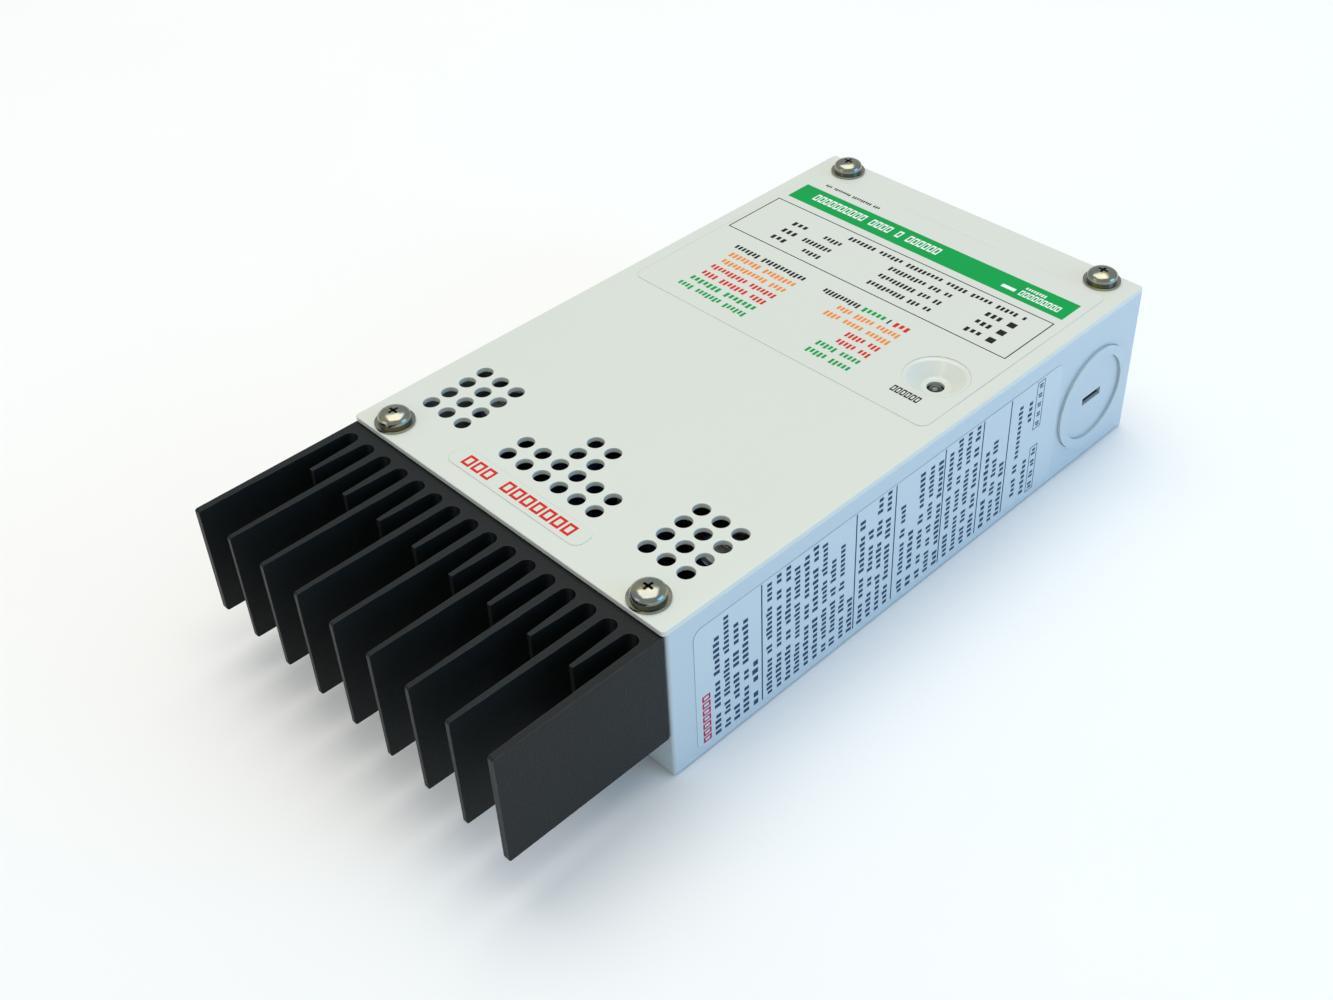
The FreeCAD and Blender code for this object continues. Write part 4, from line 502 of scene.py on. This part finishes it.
for first, pitch, ends, rule in SIDE_BLOCKS:
    for row, end in enumerate(ends):
        chance = random.Random(int(first + row * 13))
        room = int((end - ROW_START) / ROW_LETTER)
        words = []
        while room > 3:
            word = min(room, chance.choice((2, 3, 4, 5, 7, 8)))
            words.append(word)
            room -= word + 1
        print_row("side", "navy", ROW_START, end, first - pitch * row, 2.15, words)
    print_bar("side", "navy", 3.4, 45.6, rule - RULE_HALF, rule + RULE_HALF)
print_row("side", "navy", 6.7, 41.0, 60.7, 2.0, (4, 2, 11))
print_row("side", "navy", 4.8, 18.3, 55.9, 2.0, (7,))
print_row("side", "navy", 32.4, 40.1, 55.9, 2.0, (4,))
BOX_MARGIN = 0.9
for start, end, boxes in ((3.6, 21.0, 4), (27.8, 45.2, 5)):
    print_frame("side", "navy", start, end, 49.6, 53.4, 0.25)
    step = (end - start) / boxes
    for box in range(boxes):
        print_row("side", "navy", start + step * box + BOX_MARGIN,
                  start + step * (box + 1) - BOX_MARGIN, 51.5, 1.9, (2,))

for (label, ink), pieces in printed.items():
    bpy.ops.object.select_all(action="DESELECT")
    for piece in pieces:
        piece.select_set(True)
    bpy.context.view_layer.objects.active = pieces[0]
    if len(pieces) > 1:
        bpy.ops.object.join()
    pieces[0].name = f"{label}_print_{ink}"
    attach(pieces[0], "cover" if label == "front" else "case")

# ---------------------------------------------------------------------------------------------
# Fasteners: cold headed steel screws, stamped washers and clinch nuts, zinc plated with a yellow
# passivation that breaks into green and straw. The cover's four pan heads are turned afresh here,
# for their domed tops and tapered cross recesses.
# ---------------------------------------------------------------------------------------------

zinc_plate = finish("zinc_plate", (0.34, 0.33, 0.28), 0.18, metallic=1.0, drift=0.5,
                    drift_scale=420, grain_scale=2600, spread=0.18, bump=0.12)
tree = zinc_plate.node_tree
film_place = tree.nodes.new("ShaderNodeTexCoord")
film = node_in(tree, "ShaderNodeTexNoise", Scale=330.0, Detail=3.0)
wire(tree, film_place, "Object", film, "Vector")
straw = node_in(tree, "ShaderNodeMapRange", From_Min=0.45, From_Max=0.62, To_Max=0.65)
wire(tree, film, "Fac", straw, "Value")
tint(zinc_plate, straw, "Result", (0.46, 0.42, 0.22))
rose = node_in(tree, "ShaderNodeMapRange", From_Min=0.56, From_Max=0.44, To_Max=0.45)
rose_film = node_in(tree, "ShaderNodeTexNoise", Scale=210.0, Detail=2.0)
wire(tree, film_place, "Object", rose_film, "Vector")
wire(tree, rose_film, "Fac", rose, "Value")
tint(zinc_plate, rose, "Result", (0.25, 0.30, 0.29))
# Darker edges: a painted dark reflection, for contrast on heads, washers and nuts.
paint_edge_wear_and_light(zinc_plate, (0.12, 0.12, 0.11), 0.0004, 120.0)
dress(zinc_plate, "cover_flat_washers", "cover_lock_washers", "cover_nuts", "heat_sink_screws",
      "transistor_screws", "board_screws", "terminal_screw_1", "terminal_screw_2",
      "terminal_screw_3", "terminal_screw_4")


def turned(name, middle, rings, sides):
    """A closed piece turned about the vertical: rings of (height, radius) from the bottom up."""
    bpy.ops.object.select_all(action="DESELECT")
    bpy.ops.mesh.primitive_circle_add(vertices=sides, radius=rings[0][1], fill_type="NGON",
                                      location=(middle.x, middle.y, rings[0][0]))
    piece = bpy.context.object
    piece.name = name
    bpy.ops.object.transform_apply(location=True)
    bpy.ops.object.mode_set(mode="EDIT")
    bpy.ops.mesh.select_mode(type="FACE")
    bpy.ops.mesh.select_all(action="SELECT")
    for (low, narrow), (high, wide) in zip(rings, rings[1:]):
        bpy.ops.mesh.extrude_region_move(TRANSFORM_OT_translate={"value": (0, 0, high - low)})
        bpy.ops.transform.resize(value=(wide / narrow, wide / narrow, 1),
                                 center_override=(middle.x, middle.y, high))
    bpy.ops.mesh.select_all(action="SELECT")
    bpy.ops.mesh.normals_make_consistent(inside=False)
    bpy.ops.object.mode_set(mode="OBJECT")
    return piece


def cut_cross(piece, middle, top, span, width, depth):
    """Cut a tapered cross into the top of a piece."""
    arms = []
    for turn in (0, 1):
        bpy.ops.object.select_all(action="DESELECT")
        bpy.ops.mesh.primitive_cube_add(size=1, location=(middle.x, middle.y, top))
        arm = bpy.context.object
        arm.scale = ((span, width, 2 * depth), (width * 0.98, span, 2 * depth))[turn]
        bpy.ops.object.transform_apply(location=True, scale=True)
        bpy.ops.object.mode_set(mode="EDIT")
        bpy.ops.mesh.select_mode(type="FACE")
        bpy.ops.mesh.select_all(action="DESELECT")
        bpy.ops.object.mode_set(mode="OBJECT")
        for face in arm.data.polygons:
            face.select = face.normal.z < -0.9
        bpy.ops.object.mode_set(mode="EDIT")
        bpy.ops.transform.resize(value=(0.55, 0.55, 1),
                                 center_override=(middle.x, middle.y, top - depth))
        bpy.ops.object.mode_set(mode="OBJECT")
        arms.append(arm)
    for arm in arms:
        bpy.ops.object.select_all(action="DESELECT")
        piece.select_set(True)
        bpy.context.view_layer.objects.active = piece
        cut = piece.modifiers.new("cross", "BOOLEAN")
        cut.operation = "DIFFERENCE"
        cut.solver = "EXACT"
        cut.object = arm
        bpy.ops.object.modifier_apply(modifier=cut.name)
        bpy.data.objects.remove(arm)


def smooth(piece, degrees=32):
    """Merge stray doubles and shade a piece smooth up to an angle."""
    bpy.ops.object.select_all(action="DESELECT")
    piece.select_set(True)
    bpy.context.view_layer.objects.active = piece
    bpy.ops.object.mode_set(mode="EDIT")
    bpy.ops.mesh.select_all(action="SELECT")
    bpy.ops.mesh.remove_doubles(threshold=1e-6)
    bpy.ops.mesh.normals_make_consistent(inside=False)
    bpy.ops.object.mode_set(mode="OBJECT")
    bpy.ops.object.shade_smooth_by_angle(angle=math.radians(degrees))


ROUND_SIDES = 48
HEAD_RADIUS = 4.7 * MM
SHANK_RADIUS = 2.3 * MM
TIP_RADIUS = 1.9 * MM
TIP_RISE = 0.5 * MM
RIM_ROUND = 0.25 * MM
CROSS_SPAN = 4.2 * MM
CROSS_WIDTH = 0.95 * MM
CROSS_DEPTH = 1.7 * MM
# The dome, as shares of the head's height with the radius there in millimetres
DOME = ((0.30, 4.7), (0.50, 4.55), (0.66, 4.15), (0.81, 3.5), (0.91, 2.6), (0.975, 1.5), (1.0, 0.4))
screw_low, screw_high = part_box("cover_screws")
head_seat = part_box("cover_lock_washers")[1].z
head_rise = screw_high.z - head_seat
number = 0
for x in (screw_low.x + HEAD_RADIUS, screw_high.x - HEAD_RADIUS):
    for y in (screw_low.y + HEAD_RADIUS, screw_high.y - HEAD_RADIUS):
        number += 1
        middle = Vector((x, y, 0))
        rings = [(screw_low.z, TIP_RADIUS), (screw_low.z + TIP_RISE, SHANK_RADIUS),
                 (head_seat, SHANK_RADIUS), (head_seat + 0.01 * MM, HEAD_RADIUS - RIM_ROUND),
                 (head_seat + RIM_ROUND, HEAD_RADIUS)]
        rings += [(head_seat + share * head_rise, radius * MM) for share, radius in DOME]
        screw = turned(f"cover_screw_{number}", middle, rings, ROUND_SIDES)
        cut_cross(screw, middle, screw_high.z, CROSS_SPAN, CROSS_WIDTH, CROSS_DEPTH)
        smooth(screw)
        screw.data.materials.append(zinc_plate)
        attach(screw, "cover")
        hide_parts("cover_screws")

# ---------------------------------------------------------------------------------------------
# Heat sink: an aluminium extrusion, sawn to length, anodised black and screwed to the end wall.
# Fine die lines run along its height, and its edges are painted a paler grey as a highlight.
# ---------------------------------------------------------------------------------------------

black_anodise = finish("black_anodise", (0.007, 0.010, 0.0105), 0.5, drift=0.5, drift_scale=35,
                       grain_scale=1400, spread=0.25, bump=0.35)
# Paler grey edges: a painted highlight.
paint_edge_wear_and_light(black_anodise, (0.06, 0.066, 0.066), 0.0003, 160.0)
tree = black_anodise.node_tree
tree.nodes["Principled BSDF"].inputs["Specular IOR Level"].default_value = 0.22
lines_place = tree.nodes.new("ShaderNodeTexCoord")
stretch = node_in(tree, "ShaderNodeMapping", Scale=(2400.0, 2400.0, 12.0))
wire(tree, lines_place, "Object", stretch, "Vector")
die_lines = node_in(tree, "ShaderNodeTexNoise", Scale=1.0, Detail=2.0)
wire(tree, stretch, "Vector", die_lines, "Vector")
line_relief = node_in(tree, "ShaderNodeBump", Strength=0.12, Distance=0.0002)
wire(tree, die_lines, "Fac", line_relief, "Height")
wire(tree, line_relief, "Normal", tree.nodes["relief"], "Normal")
dress(black_anodise, "heat_sink", "regulator_fin")

# ---------------------------------------------------------------------------------------------
# Switching transistors: moulded epoxy bodies on tinned tabs, clamped to the end wall through a
# grey silicone pad so that the heat sink outside cools them.
# ---------------------------------------------------------------------------------------------

black_epoxy = finish("black_epoxy", (0.02, 0.02, 0.022), 0.55, grain_scale=2200, spread=0.2,
                     bump=0.3)
dress(black_epoxy, "transistor_bodies", "controller_chip", "small_chips", "voltage_regulator")
tinned_metal = finish("tinned_metal", (0.70, 0.70, 0.68), 0.32, metallic=1.0, drift=0.15,
                      drift_scale=200, bump=0.1)
dress(tinned_metal, "transistor_tabs", "transistor_legs", "light_leads", "crystal")
silicone_pad = finish("silicone_pad", (0.50, 0.51, 0.50), 0.75, grain_scale=900)
dress(silicone_pad, "thermal_pad")

# ---------------------------------------------------------------------------------------------
# Circuit board: glass epoxy under green solder mask, with copper tracks that show through as
# lighter lines, in two directions, and small tinned pads. Plated standoffs hold it off the case.
# ---------------------------------------------------------------------------------------------

solder_mask = finish("solder_mask", (0.010, 0.105, 0.038), 0.35, drift=0.15, drift_scale=60,
                     grain_scale=1200, bump=0.08, coat=0.3)
tree = solder_mask.node_tree
board_place = tree.nodes.new("ShaderNodeTexCoord")
QUARTER_TURN = 1.5708
for turn, across, along, patches in ((0.0, 0.0145, 0.0021, 42.0),
                                     (QUARTER_TURN, 0.0235, 0.0034, 56.1372)):
    lie = node_in(tree, "ShaderNodeMapping", Rotation=(0.0, 0.0, turn))
    wire(tree, board_place, "Object", lie, "Vector")
    track = node_in(tree, "ShaderNodeTexBrick", Scale=1.0, Mortar_Size=0.00028,
                    Mortar_Smooth=0.1, Brick_Width=across, Row_Height=along)
    track.offset = 0.37
    track.squash = 1.6
    track.squash_frequency = 3
    wire(tree, lie, "Vector", track, "Vector")
    region = node_in(tree, "ShaderNodeTexNoise", Scale=patches, Detail=0.0)
    wire(tree, lie, "Vector", region, "Vector")
    region_edge = node_in(tree, "ShaderNodeMapRange", From_Min=0.47, From_Max=0.49, To_Max=0.8)
    wire(tree, region, "Fac", region_edge, "Value")
    track_line = node_in(tree, "ShaderNodeMath", "MULTIPLY")
    wire(tree, track, "Fac", track_line, 0)
    wire(tree, region_edge, "Result", track_line, 1)
    tint(solder_mask, track_line, 0, (0.035, 0.22, 0.075))
pad = node_in(tree, "ShaderNodeTexVoronoi", Scale=262.0, Randomness=0.0)
wire(tree, board_place, "Object", pad, "Vector")
pad_spot = node_in(tree, "ShaderNodeMapRange", From_Min=0.30, From_Max=0.26)
wire(tree, pad, "Distance", pad_spot, "Value")
cluster = node_in(tree, "ShaderNodeTexNoise", Scale=55.0, Detail=1.0)
wire(tree, board_place, "Object", cluster, "Vector")
cluster_edge = node_in(tree, "ShaderNodeMapRange", From_Min=0.56, From_Max=0.58)
wire(tree, cluster, "Fac", cluster_edge, "Value")
pads = node_in(tree, "ShaderNodeMath", "MULTIPLY")
wire(tree, pad_spot, "Result", pads, 0)
wire(tree, cluster_edge, "Result", pads, 1)
tint(solder_mask, pads, 0, (0.60, 0.60, 0.56))
dress(solder_mask, "circuit_board")
standoff_metal = finish("standoff_metal", (0.62, 0.60, 0.54), 0.28, metallic=1.0, drift=0.1)
dress(standoff_metal, "board_standoffs")

# ---------------------------------------------------------------------------------------------
# Terminals: a black moulded block with tinned lugs, and a tin plated ground lug whose screw is
# passivated green. The sockets, headers and jumper caps are of the same black moulding.
# ---------------------------------------------------------------------------------------------

black_moulding = finish("black_moulding", (0.022, 0.022, 0.024), 0.5, grain_scale=1800, bump=0.25)
paint_edge_wear_and_light(black_moulding, (0.055, 0.055, 0.058), 0.0003)
dress(black_moulding, "terminal_housing", "reset_switch_body", "jumper_headers", "mode_jumper",
      "equalize_jumper", "voltage_jumper", "sensor_socket", "meter_socket", "chip_socket")
tinned_lug = finish("tinned_lug", (0.68, 0.69, 0.68), 0.38, metallic=1.0, drift=0.12, bump=0.15)
dress(tinned_lug, "terminal_lugs", "ground_lug")
green_passivate = finish("green_passivate", (0.05, 0.26, 0.10), 0.35, metallic=0.8, drift=0.2)
dress(green_passivate, "ground_screw")

# ---------------------------------------------------------------------------------------------
# Settings: two trimmer dials with ivory knobs on blue bases, a red reset button, and the gold
# plated pins that the jumper caps sit on. A red pointer is set into the top of each knob.
# ---------------------------------------------------------------------------------------------

blue_moulding = finish("blue_moulding", (0.02, 0.09, 0.33), 0.45, bump=0.2)
dress(blue_moulding, "bulk_pot_body", "float_pot_body")
ivory_moulding = finish("ivory_moulding", (0.72, 0.66, 0.50), 0.45, bump=0.2)
paint_edge_wear_and_light(ivory_moulding, (0.80, 0.75, 0.62), 0.0003)
dress(ivory_moulding, "bulk_knob", "float_knob")
red_moulding = finish("red_moulding", (0.55, 0.02, 0.015), 0.35, bump=0.1)
dress(red_moulding, "reset_button")
contact_gold = finish("contact_gold", (0.85, 0.58, 0.20), 0.25, metallic=1.0, drift=0.1)
dress(contact_gold, "header_pins", "socket_contacts")
pointer_paint = finish("pointer_paint", (0.60, 0.03, 0.02), 0.45, bump=0.1)
POINTER_SIZE = (1.1 * MM, 6.2 * MM, 0.42 * MM)
POINTER_OFFSET = 1.7 * MM
POINTER_SUNK = 0.33 * MM
POINTER_ROUND = 0.08 * MM
for which in ("bulk", "float"):
    low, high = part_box(which + "_knob")
    middle = (low + high) / 2
    bpy.ops.object.select_all(action="DESELECT")
    bpy.ops.mesh.primitive_cube_add(
        size=1, location=(middle.x, middle.y + POINTER_OFFSET, high.z - POINTER_SUNK))
    pointer = bpy.context.object
    pointer.name = which + "_pointer"
    pointer.scale = POINTER_SIZE
    bpy.ops.object.transform_apply(location=True, scale=True)
    bpy.ops.object.mode_set(mode="EDIT")
    bpy.ops.mesh.select_all(action="SELECT")
    bpy.ops.mesh.bevel(offset=POINTER_ROUND, segments=2)
    bpy.ops.object.mode_set(mode="OBJECT")
    pointer.data.materials.append(pointer_paint)
    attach(pointer, which + "_dial")

# ---------------------------------------------------------------------------------------------
# Status light: a moulded lens that shows dark when it is off, held up to the cover's dish by a
# turned nylon spacer on the board.
# ---------------------------------------------------------------------------------------------

smoked_lens = finish("smoked_lens", (0.010, 0.024, 0.026), 0.06, drift=0.2, spread=0.02, bump=0.01,
                     coat=1.0)
dress(smoked_lens, "status_light")
nylon = finish("nylon", (0.80, 0.79, 0.72), 0.5, bump=0.1)
dress(nylon, "light_spacer")

# ---------------------------------------------------------------------------------------------
# Power path: tinned copper bars and shunt, and four capacitors with sleeved aluminium cans. Each
# can has a rolled groove, a sleeve that curls over its shoulder and a scored vent on top.
# ---------------------------------------------------------------------------------------------

tinned_copper = finish("tinned_copper", (0.66, 0.60, 0.54), 0.34, metallic=1.0, drift=0.2,
                       drift_scale=80, bump=0.15)
dress(tinned_copper, "busbars", "current_shunt")
can_sleeve = finish("can_sleeve", (0.012, 0.02, 0.06), 0.3, drift=0.15, bump=0.05, coat=0.3)
can_stripe = finish("can_stripe", (0.55, 0.58, 0.62), 0.35, drift=0.1, bump=0.05, coat=0.3)
can_metal = finish("can_metal", (0.74, 0.74, 0.73), 0.35, metallic=1.0, drift=0.1, bump=0.1)


def solids_of(node):
    """The low and high corners of each separate solid of a CAD node."""
    mesh = nodes[node].data
    owner = {}

    def head(key):
        while owner[key] != key:
            key = owner[key]
        return key

    keys = [tuple(round(value * 1e5) for value in vertex.co) for vertex in mesh.vertices]
    for key in keys:
        owner[key] = key
    for face in mesh.polygons:
        first = head(keys[face.vertices[0]])
        for index in face.vertices:
            owner[head(keys[index])] = first
    groups = {}
    for key, vertex in zip(keys, mesh.vertices):
        groups.setdefault(head(key), []).append(vertex.co)
    return [(Vector([min(point[axis] for point in points) for axis in range(3)]),
             Vector([max(point[axis] for point in points) for axis in range(3)]))
            for points in groups.values()]


# The can's side from the board up, as heights with how far in from the full radius, then its
# shoulder and top, as depths below the top with how far in
CAN_SIDE = ((0.0, 1.2), (0.5, 0.25), (1.0, 0.0), (3.6, 0.0), (4.2, 0.7), (5.0, 0.95), (5.8, 0.7),
            (6.4, 0.0))
CAN_TOP = ((0.9, 0.0), (0.25, 0.3), (0.0, 1.0), (0.0, 1.7), (0.35, 1.9), (0.36, 3.0))
TOP_SUNK = 0.35 * MM
TOP_MIDDLE = 2.0 * MM
SCORE_SPAN = 11.0 * MM
SCORE_WIDTH = 0.5 * MM
SCORE_DEPTH = 0.25 * MM
SLEEVE_CURL = 1.6 * MM
STRIPE_REACH = 0.8624
STRIPE_HEIGHT = 0.45
SLEEVE, METAL, STRIPE = range(3)
cans = sorted(solids_of("power_capacitors"), key=lambda corners: corners[0].x)
for number, (low, high) in enumerate(cans, 1):
    middle = (low + high) / 2
    radius = (high.x - low.x) / 2
    rings = [(low.z + up * MM, radius - inset * MM) for up, inset in CAN_SIDE]
    rings += [(high.z - down * MM, radius - inset * MM) for down, inset in CAN_TOP]
    rings.append((high.z - TOP_SUNK, TOP_MIDDLE))
    can = turned(f"power_capacitor_{number}", middle, rings, ROUND_SIDES)
    cut_cross(can, middle, high.z - TOP_SUNK, SCORE_SPAN, SCORE_WIDTH, SCORE_DEPTH)
    for material in (can_sleeve, can_metal, can_stripe):
        can.data.materials.append(material)
    for face in can.data.polygons:
        out = face.center - middle
        if face.center.z > high.z - 2 * MM and out.xy.length < radius - SLEEVE_CURL:
            face.material_index = METAL
        elif out.y < -STRIPE_REACH * radius and out.z < STRIPE_HEIGHT * (high.z - low.z):
            face.material_index = STRIPE
    smooth(can)
    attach(can, "case")
    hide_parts("power_capacitors")

# ---------------------------------------------------------------------------------------------
# Small electronics: banded resistors, rectifiers with a cathode band, sleeved small capacitors
# with bare aluminium tops, and blue dipped surge discs.
# ---------------------------------------------------------------------------------------------

band_group, given, made = shader_group(
    "band", [("Start", "Float", 0.0), ("End", "Float", 0.001)],
    [("Along Y", "Float"), ("Up", "Float")])
tree = band_group
place = tree.nodes.new("ShaderNodeTexCoord")
split = tree.nodes.new("ShaderNodeSeparateXYZ")
wire(tree, place, "Object", split, "Vector")
for axis, output in (("Y", "Along Y"), ("Z", "Up")):
    past = node_in(tree, "ShaderNodeMath", "GREATER_THAN")
    wire(tree, split, axis, past, 0)
    wire(tree, given, "Start", past, 1)
    short = node_in(tree, "ShaderNodeMath", "LESS_THAN")
    wire(tree, split, axis, short, 0)
    wire(tree, given, "End", short, 1)
    inside = node_in(tree, "ShaderNodeMath", "MULTIPLY")
    wire(tree, past, 0, inside, 0)
    wire(tree, short, 0, inside, 1)
    wire(tree, inside, 0, made, output)


def band(material, output, start, end, colour):
    """Paint a band between two places along Y, or between two heights."""
    mask = material.node_tree.nodes.new("ShaderNodeGroup")
    mask.node_tree = band_group
    mask.inputs["Start"].default_value = start
    mask.inputs["End"].default_value = end
    tint(material, mask, output, colour)


BODY_HALF = 3.2 * MM
RING_HALF = 0.3 * MM
resistor_coat = finish("resistor_coat", (0.56, 0.55, 0.50), 0.42, drift=0.1)
low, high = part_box("resistors")
middle_y = (low.y + high.y) / 2
band(resistor_coat, "Along Y", middle_y - BODY_HALF, middle_y + BODY_HALF, (0.58, 0.43, 0.24))
for offset, colour in ((-2.4, (0.30, 0.09, 0.02)), (-1.1, (0.01, 0.01, 0.01)),
                       (0.2, (0.60, 0.14, 0.01)), (2.1, (0.50, 0.36, 0.08))):
    ring = middle_y + offset * MM
    band(resistor_coat, "Along Y", ring - RING_HALF, ring + RING_HALF, colour)
dress(resistor_coat, "resistors")
CASE_HALF = 3.8 * MM
CATHODE_START = 2.0 * MM
CATHODE_END = 3.1 * MM
rectifier = finish("rectifier", (0.56, 0.55, 0.52), 0.42, drift=0.1)
low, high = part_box("diodes")
middle_y = (low.y + high.y) / 2
band(rectifier, "Along Y", middle_y - CASE_HALF, middle_y + CASE_HALF, (0.018, 0.018, 0.02))
band(rectifier, "Along Y", middle_y + CATHODE_START, middle_y + CATHODE_END, (0.60, 0.60, 0.58))
dress(rectifier, "diodes")
small_can = finish("small_can", (0.72, 0.72, 0.71), 0.32, drift=0.1, bump=0.05)
low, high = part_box("small_capacitors")
band(small_can, "Up", low.z - MM, high.z - 0.05 * MM, (0.012, 0.02, 0.06))
dress(small_can, "small_capacitors")
disc_coat = finish("disc_coat", (0.03, 0.12, 0.40), 0.35, drift=0.1)
dress(disc_coat, "surge_suppressors")
